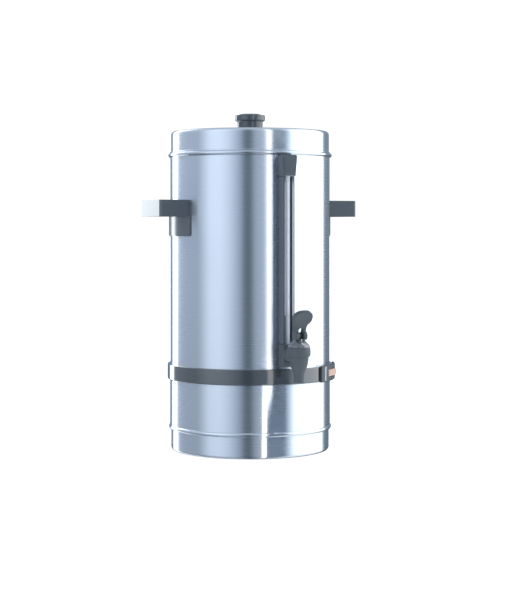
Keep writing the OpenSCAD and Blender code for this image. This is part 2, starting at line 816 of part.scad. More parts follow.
module tap_body() color(black) {
    drop = shank_z - spout_z;
    front = tank_r + block_depth + seat_gap;
    spout_r = spout_bore_d / 2 + spout_wall;
    difference() {
        union() {
            translate([0, valve_y, 0]) turned(concat(
                [[0, spout_z], [spout_r - slip, spout_z], [spout_r, spout_z + slip],
                 [spout_r, spout_z + drop * spout_neck_share]],
                [for (s = body_shares) [valve_r * s[0], shank_z - drop * s[1]]],
                [[valve_r * body_top_share, body_top], [0, body_top]]));
            bar(arm_r, front, tank_r + tap_reach - chamber_r, shank_z);
        }
        translate([0, valve_y, spout_z - cut]) cylinder(r = spout_bore_d / 2, h = seat_z - spout_z + 2 * cut);
        translate([0, valve_y, 0]) difference() {
            translate([0, 0, seat_z]) cylinder(r = cup_r + cup_gap, h = shank_z - seat_z);
            ring(spout_bore_d / 2 + seat_ring_t, 0, seat_ring_h, seat_z);
        }
        translate([0, valve_y, seat_z + cup_h / 2]) cylinder(r = chamber_r, h = body_top - seat_z);
        translate([0, valve_y, body_top - bonnet_plug_h])
            cylinder(r = bonnet_seat_r, h = bonnet_plug_h + cut);
        bar(spigot_r + thread_gap, front - cut, tank_r + block_depth + spigot_l + seat_gap, shank_z);
        bar(shank_bore_d / 2, front, tank_r + tap_reach, shank_z);
    }
}

module tap_bonnet() color(black) translate([0, valve_y, 0]) {
    bonnet_foot_r = valve_r * body_top_share;
    plug_z = body_top - bonnet_plug_h + seat_gap;
    plug_r = bonnet_seat_r - bonnet_bore_gap;
    difference() {
        turned(concat(
            [[0, plug_z], [plug_r, plug_z], [plug_r, body_top + seat_gap],
             [bonnet_foot_r, body_top + seat_gap]],
            [for (s = bonnet_shares) [bonnet_foot_r * s[0], body_top + bonnet_h * s[1]]],
            [[bonnet_top_r, bonnet_top], [0, bonnet_top]]));
        translate([0, 0, body_top - bonnet_plug_h - cut])
            cylinder(r = spring_r + spring_wire + move_gap, h = bonnet_h + bonnet_plug_h - bonnet_wall + cut);
        translate([0, 0, body_top]) cylinder(r = stem_r + slip, h = bonnet_h + cut);
    }
}

module valve_stem() color(steel) translate([0, valve_y, 0]) {
    difference() {
        union() {
            translate([0, 0, stem_low_z]) cylinder(r = stem_r, h = pin_z - stem_low_z);
            translate([0, 0, collar_z]) cylinder(r = collar_r, h = collar_t);
            translate([-eye_t / 2, 0, pin_z]) rotate([0, 90, 0]) cylinder(r = eye_r, h = eye_t);
        }
        translate([-eye_t, 0, pin_z]) rotate([0, 90, 0]) cylinder(r = pin_r + slip, h = 2 * eye_t);
    }
}

module seat_cup() color("white") translate([0, valve_y, 0]) {
    low = seat_z + seat_ring_h + seat_gap;
    turned([[0, low], [cup_r - cup_wall, low], [cup_r, low + cup_wall], [cup_r, low + cup_h / 2],
        [cup_r - cup_wall, low + cup_h / 2], [cup_r - cup_wall, low + 2 * cup_wall],
        [stem_r + cup_wall, low + 2 * cup_wall], [stem_r + cup_wall, collar_z - seat_gap],
        [stem_r + slip, collar_z - seat_gap], [stem_r + slip, low + cup_wall - slip],
        [0, low + cup_wall - slip]]);
}

// The spring is a closed sleeve of the coil's size, with grooves between its turns
module stem_spring() color(steel) translate([0, valve_y, 0]) {
    low = collar_z + collar_t;
    high = bonnet_top - bonnet_wall;
    pitch = (high - low) / spring_turns;
    turned(concat(
        [for (i = [0:spring_turns - 1]) each [
            [spring_r + spring_wire / 2, low + i * pitch],
            [spring_r + spring_wire / 2, low + i * pitch + pitch / 2],
            [spring_r, low + i * pitch + pitch * 3 / 4]]],
        [[spring_r - spring_wire / 2, high], [spring_r - spring_wire / 2, low]]));
}

module lever_pin() color(steel) {
    pin_l = fork_w - 2 * pin_r;
    translate([-pin_l / 2, valve_y, pin_z]) rotate([0, 90, 0]) cylinder(r = pin_r, h = pin_l);
}

// The lever from the front, x across and y along it
module lever_outline() {
    neck = fork_w / 2;
    low = lever_l - paddle_h;
    hip = [paddle_w / 2 - paddle_round * hip_share, low + paddle_round * hip_rise_share];
    waist = [neck * neck_waist_share, low - paddle_round * neck_rise_share];
    polygon(concat(
        [[-neck, -heel_r], [neck, -heel_r], waist],
        arc(hip, paddle_round * hip_share, -hip_turn, 0),
        arc([paddle_w / 2 - paddle_round, lever_l - paddle_round], paddle_round, 0, 90),
        arc([paddle_round - paddle_w / 2, lever_l - paddle_round], paddle_round, 90, 180),
        arc([-hip.x, hip.y], paddle_round * hip_share, 180, 180 + hip_turn),
        [[-waist.x, waist.y]]));
}

// The lever from its side, x forward and y along it, bent forward over its upper part
module lever_side() {
    bend_y = lever_l * lever_bend_share;
    face = 180 - asin(lever_l * lever_face_share / lever_sweep);
    back = 180 - asin(lever_l * lever_back_share / lever_sweep);
    polygon(concat(
        [[-lever_t / 2, -heel_r], [lever_t / 2, -heel_r]],
        arc([lever_sweep + lever_t / 2, bend_y], lever_sweep, 180, face),
        [[lever_t * lever_tip_shares[0], lever_l], [lever_t * lever_tip_shares[1], lever_l]],
        arc([lever_sweep - lever_t / 2, bend_y], lever_sweep, back, 180)));
}

module tap_lever() color(black) translate([0, valve_y, pin_z]) {
    wide = 2 * paddle_w;
    difference() {
        union() {
            rotate([lever_lean, 0, 0]) difference() {
                intersection() {
                    rotate([90, 0, 0]) linear_extrude(2 * lever_sweep, center = true) lever_outline();
                    rotate([0, 0, -90]) rotate([90, 0, 0]) linear_extrude(wide, center = true) lever_side();
                }
                translate([-wide / 2, -lever_sweep, -lever_l]) cube([wide, 2 * lever_sweep, lever_l]);
            }
            for (disc = [[0, heel_r - 2 * seat_gap], [heel_ahead, heel_r]])
                translate([0, -disc[0], 0]) rotate([0, 90, 0])
                    cylinder(r = disc[1], h = fork_w, center = true);
        }
        rotate([lever_lean, 0, 0]) translate([-fork_gap / 2, -lever_sweep, -lever_l])
            cube([fork_gap, 2 * lever_sweep, lever_l + fork_h]);
        rotate([0, 90, 0]) cylinder(r = pin_r + slip, h = wide, center = true);
    }
}

module pump_stem() color(steel) {
    ring(stem_or, stem_or - stem_wall, stem_top - floor_z, floor_z);
    ring(stop_r, stem_or - stem_wall / 2, stop_t, basket_z - stop_t - seat_gap);
}

module pump_foot() color(steel) {
    low = well_z + wall + seat_gap;
    neck_z = floor_z + foot_notch_h;
    difference() {
        turned([[foot_funnel_r - foot_funnel_wall, low], [foot_funnel_r, low],
            [foot_funnel_r, low + foot_notch_h],
            [stem_or + foot_funnel_wall * 2, neck_z], [stem_or + foot_funnel_wall * 2, neck_z + foot_neck_h],
            [stem_or + slip, neck_z + foot_neck_h], [stem_or + slip, floor_z - slip],
            [stem_or - stem_wall, floor_z - slip], [stem_or - stem_wall, floor_z - foot_funnel_wall * 2],
            [foot_funnel_r - foot_funnel_wall, low + foot_notch_h - foot_funnel_wall]]);
        for (i = [0:foot_notches - 1]) rotate([0, 0, 360 * i / foot_notches])
            translate([0, -foot_notch_w / 2, low - cut])
                cube([foot_funnel_r + cut, foot_notch_w, cut + foot_notch_h / 2]);
    }
}

// Rings of holes in a flat round plate of radius r, with a plain middle
module pierced(r, middle, rings, hole_d) {
    difference() {
        circle(r = r);
        circle(r = middle);
        for (k = [1:rings]) let (place = middle + (r - middle) * k / (rings + 1), n = ring_holes * (k + 1))
            for (i = [0:n - 1]) rotate(360 * (i + k / 2) / n) translate([place, 0])
                circle(r = hole_d / 2, $fn = 24);
    }
}

module coffee_basket() color(steel) {
    top = basket_z + basket_h;
    translate([0, 0, basket_z]) linear_extrude(basket_wall)
        pierced(basket_r - basket_wall / 2, sleeve_r, basket_rings, basket_hole_d);
    turned(concat(
        [[basket_r - basket_wall, basket_z], [basket_r, basket_z]],
        arc([basket_r, top - basket_bead_r], basket_bead_r, -90, 90),
        [[basket_r - basket_wall, top]]));
    ring(sleeve_r + sleeve_wall, sleeve_r, basket_h - 2 * spreader_drop, basket_z);
}

module basket_spreader() color(steel) {
    low = basket_z + basket_h + seat_gap;
    rim_r = basket_r - basket_wall - move_gap;
    translate([0, 0, low]) linear_extrude(basket_wall)
        pierced(basket_r - basket_wall - spreader_drop / 2, sleeve_r, spreader_rings, spreader_hole_d);
    ring(rim_r, rim_r - basket_wall, spreader_drop, low - spreader_drop);
    ring(basket_r + basket_bead_r, basket_r - basket_wall - spreader_drop, basket_wall, low);
    ring(sleeve_r + sleeve_wall, sleeve_r, spreader_rise + basket_wall, low);
}

module heating_element() color("gray") {
    translate([0, 0, element_z]) rotate([0, 0, element_leg_angle])
        rotate_extrude(angle = 360 - 2 * element_leg_angle)
            translate([element_ring_r, 0]) circle(r = element_r, $fn = 32);
    for (side = [-1, 1]) rotate([0, 0, side * element_leg_angle])
        translate([element_ring_r, 0, element_z - element_leg_l])
            cylinder(r = element_r, h = element_leg_l, $fn = 32);
}

module heater_plate() color("gainsboro") {
    difference() {
        union() {
            translate([0, 0, plate_z]) cylinder(r = heater_plate_r, h = heater_plate_t);
            translate([0, 0, plate_z]) cylinder(r = heater_boss_r, h = well_z - plate_z - seat_gap / 2);
        }
        for (side = [-1, 1]) rotate([0, 0, side * element_leg_angle])
            translate([element_ring_r, 0, plate_z - cut])
                cylinder(r = element_r + 2 * seat_gap, h = heater_plate_t + 2 * cut);
    }
}

module thermostat() color("white") translate([0, 0, plate_z - seat_gap / 2 - thermostat_h]) {
    cylinder(r = thermostat_r, h = thermostat_h);
    for (side = [-1, 1]) translate([side * thermostat_r / 2 - tab_t / 2, -tab_w / 2, -tab_l])
        cube([tab_t, tab_w, tab_l + cut]);
}

module thermal_cutout() color("gray") {
    z = base_h - cutout_r - seat_gap / 2;
    translate([cutout_place_r, -cutout_l / 2, z]) rotate([-90, 0, 0])
        cylinder(r = cutout_r, h = cutout_l, $fn = 48);
    translate([cutout_place_r, -cutout_l / 2 - tab_l, z]) rotate([-90, 0, 0])
        cylinder(r = tab_t, h = cutout_l + 2 * tab_l, $fn = 24);
}

module terminal_block() color("white") translate([0, block_place_r, cover_z + cover_t + seat_gap / 2]) {
    pitch = block_l / block_ways;
    difference() {
        translate([-block_l / 2, -block_b / 2, 0]) cube([block_l, block_b, block_h]);
        for (i = [0:block_ways - 1]) translate([pitch * (i + 1 / 2) - block_l / 2, 0, 0]) {
            translate([0, block_b, block_h / 2]) rotate([90, 0, 0])
                cylinder(r = block_way_r, h = 2 * block_b, $fn = 32);
            for (side = [-1, 1]) translate([0, side * block_b / 4, block_h / 2])
                cylinder(r = block_screw_r, h = block_h, $fn = 32);
        }
    }
}

module appliance_inlet() color("black") facing(180) {
    out_r = base_r + inlet_flange_t;
    difference() {
        union() {
            difference() {
                translate([0, -inner_r / 2, inlet_z]) rotate([90, 0, 0]) linear_extrude(out_r - inner_r / 2)
                    polygon(round_rect(inlet_flange_w, inlet_flange_h, inlet_corner));
                cylinder(r = base_r + slip, h = rim_z);
            }
            translate([0, -(out_r - inlet_depth - inlet_wall), inlet_z]) rotate([90, 0, 0])
                linear_extrude(inlet_depth + inlet_wall - inlet_flange_t / 2)
                    polygon(round_rect(inlet_w + 2 * inlet_wall, inlet_h + 2 * inlet_wall, inlet_corner));
        }
        translate([0, -(out_r - inlet_depth), inlet_z]) rotate([90, 0, 0])
            linear_extrude(inlet_depth + cut)
                polygon(round_rect(inlet_w, inlet_h, inlet_corner - inlet_wall / 2));
        at_inlet_pins() cube([inlet_pin_t + 2 * slip, 4 * inlet_wall, inlet_pin_w + 2 * slip], center = true);
    }
}

// Middles of the three pins, where they pass through the back of the inlet
module at_inlet_pins() {
    back = base_r + inlet_flange_t - inlet_depth;
    for (i = [-1:1])
        translate([i * inlet_pin_pitch / 2, -back, inlet_z + (1 / 2 - abs(i)) * inlet_pin_drop]) children();
}

module inlet_pins() color("gold") facing(180) at_inlet_pins()
    translate([-inlet_pin_t / 2, -inlet_pin_l, -inlet_pin_w / 2])
        cube([inlet_pin_t, inlet_pin_l + inlet_wall + inlet_tail_l, inlet_pin_w]);

tank();
lid();
lid_knob();
lid_knob_screw();
handle_left();
handle_right();
handle_screws();
base_shell();
base_skirt();
trim_band();
control_housing();
rocker_switch();
switch_body();
gauge_guard();
gauge_glass();
gauge_cap();
gauge_cap_screw();
gauge_seals();
tap_shank();
tap_gaskets();
tap_nut();
tap_body();
tap_bonnet();
tap_lever();
lever_pin();
valve_stem();
seat_cup();
stem_spring();
pump_stem();
pump_foot();
coffee_basket();
basket_spreader();
heating_element();
heater_plate();
thermostat();
thermal_cutout();
terminal_block();
appliance_inlet();
inlet_pins();
bottom_cover();
cover_screws();
foot_ring();
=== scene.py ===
"""A percolating coffee urn: the finish of every piece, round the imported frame. Lengths are in mm."""
import math

import bpy
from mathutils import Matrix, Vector


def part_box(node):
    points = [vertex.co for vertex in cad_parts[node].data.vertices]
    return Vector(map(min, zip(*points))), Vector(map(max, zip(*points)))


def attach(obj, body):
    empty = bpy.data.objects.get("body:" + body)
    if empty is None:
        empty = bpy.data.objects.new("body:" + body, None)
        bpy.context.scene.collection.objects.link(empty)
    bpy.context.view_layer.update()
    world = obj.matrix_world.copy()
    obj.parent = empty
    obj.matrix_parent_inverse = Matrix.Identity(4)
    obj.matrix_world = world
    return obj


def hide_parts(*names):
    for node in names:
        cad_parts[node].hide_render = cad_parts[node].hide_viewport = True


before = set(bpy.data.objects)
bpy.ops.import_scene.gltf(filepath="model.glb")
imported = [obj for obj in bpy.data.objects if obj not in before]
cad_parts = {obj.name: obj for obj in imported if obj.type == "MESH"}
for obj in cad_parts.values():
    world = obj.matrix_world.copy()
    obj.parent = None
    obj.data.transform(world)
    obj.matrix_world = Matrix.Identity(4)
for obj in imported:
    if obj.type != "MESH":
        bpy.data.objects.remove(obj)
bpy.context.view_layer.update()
ops = bpy.ops
MM = 0.001

# The photograph's camera, which looks level at the urn from its left
CAMERA_AZIMUTH = math.radians(-24.5)
CAMERA_DISTANCE = 2300
CAMERA_HEIGHT = 324.6
LENS = 95.4
SENSOR_WIDTH = 36
LENS_SHIFT = (0.0083, -0.126)

# Segments of round forms
ROUND_STEPS = 192  # a large turned piece
CORE_STEPS = 256  # a cylinder that a piece is cut to
KNOB_STEPS = 128
TAP_STEPS = 96
SMALL_STEPS = 64
HOLE_STEPS = 24

WELD = 1e-6  # metres between corners that are taken as one
SMOOTH_ANGLE = 35  # degrees, past which an edge stays sharp
OVERRUN = 1  # how far a cutting tool reaches past the piece


def corners(node):
    """A node's lowest and highest corners."""
    low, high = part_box(node)
    return low / MM, high / MM


tank_low, tank_high = corners("tank")
lid_low, lid_high = corners("lid")
knob_low, knob_high = corners("lid_knob")
shell_low, shell_high = corners("base_shell")
skirt_low, skirt_high = corners("base_skirt")
band_low, band_high = corners("trim_band")
grip_low, grip_high = corners("handle_right")
guard_low, guard_high = corners("gauge_guard")
glass_low, glass_high = corners("gauge_glass")
cap_low, cap_high = corners("gauge_cap")
valve_low, valve_high = corners("tap_body")
pin_low, pin_high = corners("lever_pin")
inlet_low, inlet_high = corners("appliance_inlet")
block_high = corners("tap_shank")[1]
bonnet_high = corners("tap_bonnet")[1]
foot_high = corners("foot_ring")[1]

wall = 1  # sheet steel
gap = 0.2  # left between a piece and what it sits on
bead_r = 3.1  # the tank's rolled rim
tank_r = tank_high.x - bead_r
inner_r = tank_r - wall
seat_r = tank_r + gap  # inner radius of what sits on the tank
rim_z = tank_high.z
base_h = shell_high.z
shell_poke = 1.7  # how far the shell's lower bead stands past its wall
shell_r = shell_high.x - shell_poke


# Shader trees: arithmetic on sockets, and one call for any other node

# Sockets of a Mix node that mixes colours
MIX_FACTOR, MIX_A, MIX_B, MIX_RESULT = 0, 6, 7, 2
MIDDLE = 0.5  # of a noise


class Value:
    """A socket of a node tree. Arithmetic on it adds Math nodes."""

    def __init__(self, web, socket):
        self.web = web
        self.socket = socket

    def part(self, name):
        """Another output of the same node."""
        return Value(self.web, self.socket.node.outputs[name])

    def __add__(self, other):
        return self.web.maths("ADD", self, other)

    def __radd__(self, other):
        return self.web.maths("ADD", other, self)

    def __sub__(self, other):
        return self.web.maths("SUBTRACT", self, other)

    def __rsub__(self, other):
        return self.web.maths("SUBTRACT", other, self)

    def __mul__(self, other):
        return self.web.maths("MULTIPLY", self, other)

    def __rmul__(self, other):
        return self.web.maths("MULTIPLY", other, self)

    def __truediv__(self, other):
        return self.web.maths("DIVIDE", self, other)

    def __rtruediv__(self, other):
        return self.web.maths("DIVIDE", other, self)

    def __pow__(self, other):
        return self.web.maths("POWER", self, other)

    def __rpow__(self, other):
        return self.web.maths("POWER", other, self)


class Web:
    """A node tree that is built by calls."""

    def __init__(self, tree):
        self.tree = tree
        tree.nodes.clear()

    def node(self, kind, settings=None, sockets=None, output=0):
        """Adds a node, sets it, then feeds its sockets with values or links."""
        made = self.tree.nodes.new("ShaderNode" + kind)
        for key, value in (settings or {}).items():
            if key == "stops":
                self.set_stops(made.color_ramp, value)
            else:
                setattr(made, key, value)
        for key, value in (sockets or {}).items():
            if isinstance(value, Value):
                self.tree.links.new(value.socket, made.inputs[key])
            else:
                made.inputs[key].default_value = value
        return Value(self, made.outputs[output]) if made.outputs else made

    @staticmethod
    def set_stops(ramp, stops):
        while len(ramp.elements) < len(stops):
            ramp.elements.new(1)
        for element, (place, colour) in zip(ramp.elements, stops):
            element.position = place
            element.color = (*colour, 1)

    def maths(self, operation, *terms):
        return self.node("Math", {"operation": operation}, dict(enumerate(terms)))

    def mixed(self, factor, a, b):
        """A colour between a and b, each a link or three plain numbers."""
        a, b = (end if isinstance(end, Value) else (*end, 1) for end in (a, b))
        sockets = {MIX_FACTOR: factor, MIX_A: a, MIX_B: b}
        return self.node("Mix", {"data_type": "RGBA"}, sockets, MIX_RESULT)


class Finish(Web):
    """A material with one Principled shader."""

    def __init__(self, name, **fixed):
        self.material = bpy.data.materials.new(name)
        self.material.use_nodes = True
        super().__init__(self.material.node_tree)
        self.shader = self.node("BsdfPrincipled")
        self.node("OutputMaterial", sockets={"Surface": self.shader})
        for key, value in fixed.items():
            self.feed(key.replace("_", " ").title().replace("Ior", "IOR"), value)
        self.place = self.node("TexCoord").part("Object")

    def feed(self, name, value):
        """Links a value into a socket of the shader, or sets a number or a colour on it."""
        socket = self.shader.socket.node.inputs[name]
        if isinstance(value, Value):
            self.tree.links.new(value.socket, socket)
        elif isinstance(value, tuple):
            socket.default_value = (*value, 1)
        else:
            socket.default_value = value

    def noise(self, scale, detail=2, place=None, rough=0.5):
        sockets = {"Vector": place or self.place, "Scale": scale, "Detail": detail, "Roughness": rough}
        return self.node("TexNoise", {}, sockets)

    def polish(self, level, fine, fine_share, broad, broad_share):
        """Roughness about a level, a little uneven in a fine and a broad pattern."""
        self.feed("Roughness", level + (fine - MIDDLE) * fine_share + (broad - MIDDLE) * broad_share)

    def bump(self, height, strength, distance):
        sockets = {"Height": height, "Strength": strength, "Distance": distance}
        self.feed("Normal", self.node("Bump", {}, sockets))

    def lathe_lines(self, pitch, stretch):
        """Fine noise drawn out round the Z axis, on walls and on flats alike."""
        split = self.node("SeparateXYZ", {}, {"Vector": self.place})
        x, y, z = split, split.part("Y"), split.part("Z")
        across = ((x * x + y * y) ** 0.5 + z) / (pitch * MM)
        along = (1 / stretch) / MM
        drawn = self.node("CombineXYZ", {}, {"X": x * along, "Y": y * along, "Z": across})
        return self.noise(scale=1, detail=3, place=drawn, rough=0.6)


def tinted(colour, share):
    """A colour made darker or lighter."""
    return [share * c for c in colour]


def brushed_steel(name, colour, roughness, turned_grain, grain=0.5, stretch=60, streak=0.10):
    """Sheet brushed round the body: fine lines, an uneven polish, and a highlight drawn out upwards."""
    look = Finish(name, metallic=1, anisotropic=turned_grain, anisotropic_rotation=0.25)
    lines = look.lathe_lines(grain, stretch)
    look.polish(roughness, lines, streak, look.noise(scale=14), broad_share=0.06)
    look.feed("Base Color", look.mixed(lines, tinted(colour, share=0.94), colour))
    look.bump(lines, strength=0.04, distance=0.0002)
    return look.material


def plain_metal(name, colour, roughness, grain=300, streak=0.12):
    """Bare metal with a fine skin and a faint cloud."""
    look = Finish(name, metallic=1)
    skin = look.noise(grain, detail=4)
    cloud = look.noise(scale=25)
    look.polish(roughness, skin, streak, cloud, broad_share=0.08)
    look.feed("Base Color", look.mixed(cloud, tinted(colour, share=0.9), colour))
    look.bump(skin, strength=0.08, distance=0.0003)
    return look.material


def moulded(name, colour, roughness, grain=900, depth=0.05, coat=0.0, tone=0.12, shine=0.5):
    """Moulded plastic or rubber: an even colour with a faint cloud, and a fine skin."""
    look = Finish(name, coat_weight=coat, coat_roughness=0.05, coat_ior=1.8, specular_ior_level=shine)
    skin = look.noise(grain, detail=3)
    cloud = look.noise(scale=18)
    look.polish(roughness, skin, fine_share=0.08, broad=cloud, broad_share=0.05)
    look.feed("Base Color", look.mixed(cloud, tinted(colour, 1 - tone), tinted(colour, 1 + tone)))
    look.bump(skin, depth, distance=0.0003)
    return look.material


def lit_amber():
    """The rocker's lens, with its lamp on behind it."""
    smooth, uneven = 0.22, 0.1
    dim, bright = (0.46, 0.31, 0.25), (0.54, 0.38, 0.32)
    look = Finish("amber_lens", transmission_weight=0.25, emission_strength=0.35, ior=1.49)
    cloud = look.noise(scale=60)
    look.feed("Roughness", smooth + (cloud - MIDDLE) * uneven)
    glow = look.mixed(cloud, dim, bright)
    look.feed("Base Color", glow)
    look.feed("Emission Color", glow)
    look.bump(look.noise(scale=700), strength=0.04, distance=0.0002)
    return look.material


def clear_glass():
    smooth, uneven = 0.05, 0.06
    look = Finish("gauge_glass", transmission_weight=0.2, ior=1.47)
    cloud = look.noise(scale=40)
    look.feed("Roughness", smooth + cloud * uneven)
    look.feed("Base Color", look.mixed(cloud, (0.52, 0.56, 0.64), (0.60, 0.64, 0.72)))
    return look.material


TAP_COLOUR = (0.070, 0.082, 0.092)

body_steel = brushed_steel("body_steel", (0.70, 0.74, 0.80), roughness=0.26, turned_grain=0.95)
inner_steel = brushed_steel("inner_steel", (0.72, 0.74, 0.77), roughness=0.26, turned_grain=0.5, grain=0.8)
cover_steel = plain_metal("cover_steel", (0.60, 0.62, 0.64), roughness=0.38)
chrome = plain_metal("bright_steel", (0.78, 0.79, 0.80), roughness=0.16)
black_gloss = moulded("black_gloss", (0.058, 0.070, 0.083), roughness=0.20, coat=0.25)
band_gloss = moulded("band_gloss", (0.030, 0.036, 0.044), roughness=0.12, depth=0.02, coat=1.0)
tap_black = moulded("tap_black", TAP_COLOUR, roughness=0.42, shine=0.25)
dome_gloss = moulded("dome_gloss", TAP_COLOUR, roughness=0.24, coat=0.9)
switch_black = moulded("switch_black", (0.062, 0.070, 0.077), roughness=0.42, shine=0.25)
black_matt = moulded("black_matt", (0.035, 0.036, 0.038), roughness=0.50)
amber = lit_amber()
glass = clear_glass()
silicone = moulded("silicone", (0.78, 0.79, 0.77), roughness=0.55)
white_plastic = moulded("white_plastic", (0.80, 0.80, 0.77), roughness=0.45)
sheath = plain_metal("element_sheath", (0.38, 0.37, 0.36), roughness=0.45)
cast = plain_metal("cast_aluminium", (0.66, 0.67, 0.68), roughness=0.50, grain=160, streak=0.2)
brass = plain_metal("brass", (0.76, 0.60, 0.30), roughness=0.25)
# Pale lilac grey of the switch's jambs: partly their own colour, partly a painted highlight that stands in
# for the strip light's reflection on their edges
silver_grey = moulded("silver_grey", (0.36, 0.39, 0.48), roughness=0.40)
rubber = moulded("foot_rubber", (0.03, 0.03, 0.03), roughness=0.75, grain=1500, depth=0.1)


# Modelling helpers


def arc(centre, radius, start, end, steps=8):
    """Points of an arc, from one angle to another in degrees."""
    turns = [math.radians(start + (end - start) * i / steps) for i in range(steps + 1)]
    return [(centre[0] + radius * math.cos(t), centre[1] + radius * math.sin(t)) for t in turns]


def rounded(width, height, radius, steps=6):
    """A rectangle with round corners, about the middle."""
    x, y = width / 2 - radius, height / 2 - radius
    middles = ((x, y, 0), (-x, y, 90), (-x, -y, 180), (x, -y, 270))
    return [p for cx, cy, start in middles for p in arc((cx, cy), radius, start, start + 90, steps)]


def mirrored(half):
    """An outline whose right half is given."""
    return half + [(-x, y) for x, y in reversed(half)]


def pick(piece):
    """Selects one piece and nothing else."""
    ops.object.select_all(action="DESELECT")
    piece.select_set(True)
    bpy.context.view_layer.objects.active = piece


def ring_of(name, points, fill="NOTHING"):
    """A ring with one corner for each point."""
    ops.object.select_all(action="DESELECT")
    ops.mesh.primitive_circle_add(vertices=len(points), radius=MM, fill_type=fill)
    piece = bpy.context.object
    piece.name = piece.data.name = name
    for corner, point in zip(piece.data.vertices, points):
        corner.co = Vector(point) * MM
    return piece


def edit_all():
    ops.object.mode_set(mode="EDIT")
    ops.mesh.select_all(action="SELECT")


def tidy_mesh():
    """Welds doubles, drops loose edges and turns every face outwards."""
    ops.mesh.select_all(action="SELECT")
    ops.mesh.remove_doubles(threshold=WELD)
    ops.mesh.delete_loose()
    ops.mesh.select_all(action="SELECT")
    ops.mesh.normals_make_consistent(inside=False)
    ops.object.mode_set(mode="OBJECT")


def shade(piece):
    """Smooths all but the sharp edges, with broad faces kept flat where they meet small ones."""
    pick(piece)
    ops.object.shade_smooth_by_angle(angle=math.radians(SMOOTH_ANGLE))
    even = piece.modifiers.new("even", "WEIGHTED_NORMAL")
    even.keep_sharp = True
    ops.object.modifier_apply(modifier=even.name)
    return piece


def place(piece, at=(0, 0, 0), turn=(0, 0, 0)):
    """Turns a piece, moves it, and writes its place into its mesh."""
    pick(piece)
    piece.rotation_euler = [math.radians(t) for t in turn]
    piece.location = Vector(at) * MM
    ops.object.transform_apply(location=True, rotation=True, scale=True)
    return piece


def turned(name, outline, steps=ROUND_STEPS):
    """A closed outline of (radius, height) points, spun round the Z axis."""
    piece = ring_of(name, [(r, 0, z) for r, z in outline])
    edit_all()
    ops.mesh.spin(steps=steps, angle=2 * math.pi, center=(0, 0, 0), axis=(0, 0, 1))
    tidy_mesh()
    return shade(piece)


def cylinder(name, radius, low, high, steps=SMALL_STEPS):
    return turned(name, [(0, low), (radius, low), (radius, high), (0, high)], steps)


def tank_core(radius):
    """A tool for the tank's side of a piece that sits on it."""
    return cylinder("core", radius, 0, rim_z, CORE_STEPS)


def rod(name, radius, back, front, height):
    """A round bar that points along -Y, from one distance from the axis to another."""
    return place(cylinder(name, radius, back, front), (0, 0, height), (90, 0, 0))


def swept(name, outline, start, end, steps):
    """A closed outline of (radius, height) points, spun through part of a turn, with closed ends.
    The angles are from the tap's side, -Y, towards +X."""
    piece = ring_of(name, [(0, -r, z) for r, z in outline])
    place(piece, turn=(0, 0, start))
    edit_all()
    ops.mesh.spin(steps=steps, angle=-math.radians(end - start), center=(0, 0, 0), axis=(0, 0, 1))
    ops.mesh.select_all(action="SELECT")
    ops.mesh.remove_doubles(threshold=WELD)
    ops.mesh.fill_holes(sides=0)
    tidy_mesh()
    return piece


def extruded(name, outline, low, high):
    """A flat outline of (x, y) points, filled and drawn up from one height to another."""
    piece = ring_of(name, [(x, y, low) for x, y in outline], "NGON")
    edit_all()
    ops.mesh.extrude_region_move(TRANSFORM_OT_translate={"value": (0, 0, (high - low) * MM)})
    tidy_mesh()
    return piece


def combine(piece, tool, operation="DIFFERENCE"):
    """Cuts, joins or trims a piece with another, which is used up."""
    pick(piece)
    made = piece.modifiers.new(operation.lower(), "BOOLEAN")
    made.operation, made.solver, made.object = operation, "EXACT", tool
    ops.object.modifier_apply(modifier=made.name)
    bpy.data.objects.remove(tool)
    return piece


def soften(piece, width, segments=3, angle=40):
    """Rounds the edges that turn by more than an angle."""
    pick(piece)
    made = piece.modifiers.new("soften", "BEVEL")
    made.width, made.segments = width * MM, segments
    made.limit_method, made.angle_limit = "ANGLE", math.radians(angle)
    ops.object.modifier_apply(modifier=made.name)
    return shade(piece)


def dress(piece, look, body, slot, *nodes):
    """Gives a piece its finish and the body that it rides on, and hides the nodes that it stands for."""
    piece.data.materials.clear()
    piece.data.materials.append(look)
    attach(piece, body)
    if nodes:
        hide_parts(*nodes)
    return piece


# Tank and lid


def tank():
    """The drawn vessel, with a well in its floor for the pump's foot and a rolled rim."""
    corner, well_corner, well_r = 3.2, 4, 38
    bead_start = -84  # degrees on the bead, where it leaves the wall
    well_z, floor_z = tank_low.z, base_h + wall
    outline = (
        [(0, well_z)]
        + arc((well_r - well_corner, well_z + well_corner), well_corner, -90, 0)
        + [(well_r, base_h)]
        + arc((tank_r - corner, base_h + corner), corner, -90, 0)
        + [(tank_r, rim_z - 2 * bead_r - wall)]
        + arc((tank_r, rim_z - bead_r), bead_r, bead_start, 90, steps=14)
        + [(inner_r, rim_z)]
        + arc((tank_r - corner, base_h + corner), corner - wall, 0, -90)
        + [(well_r - wall, floor_z)]
        + arc((well_r - well_corner, well_z + well_corner), well_corner - wall, 0, -90)
        + [(0, well_z + wall)]
    )
    dress(turned("tank_wall", outline), body_steel, "urn", "body_steel", "tank")


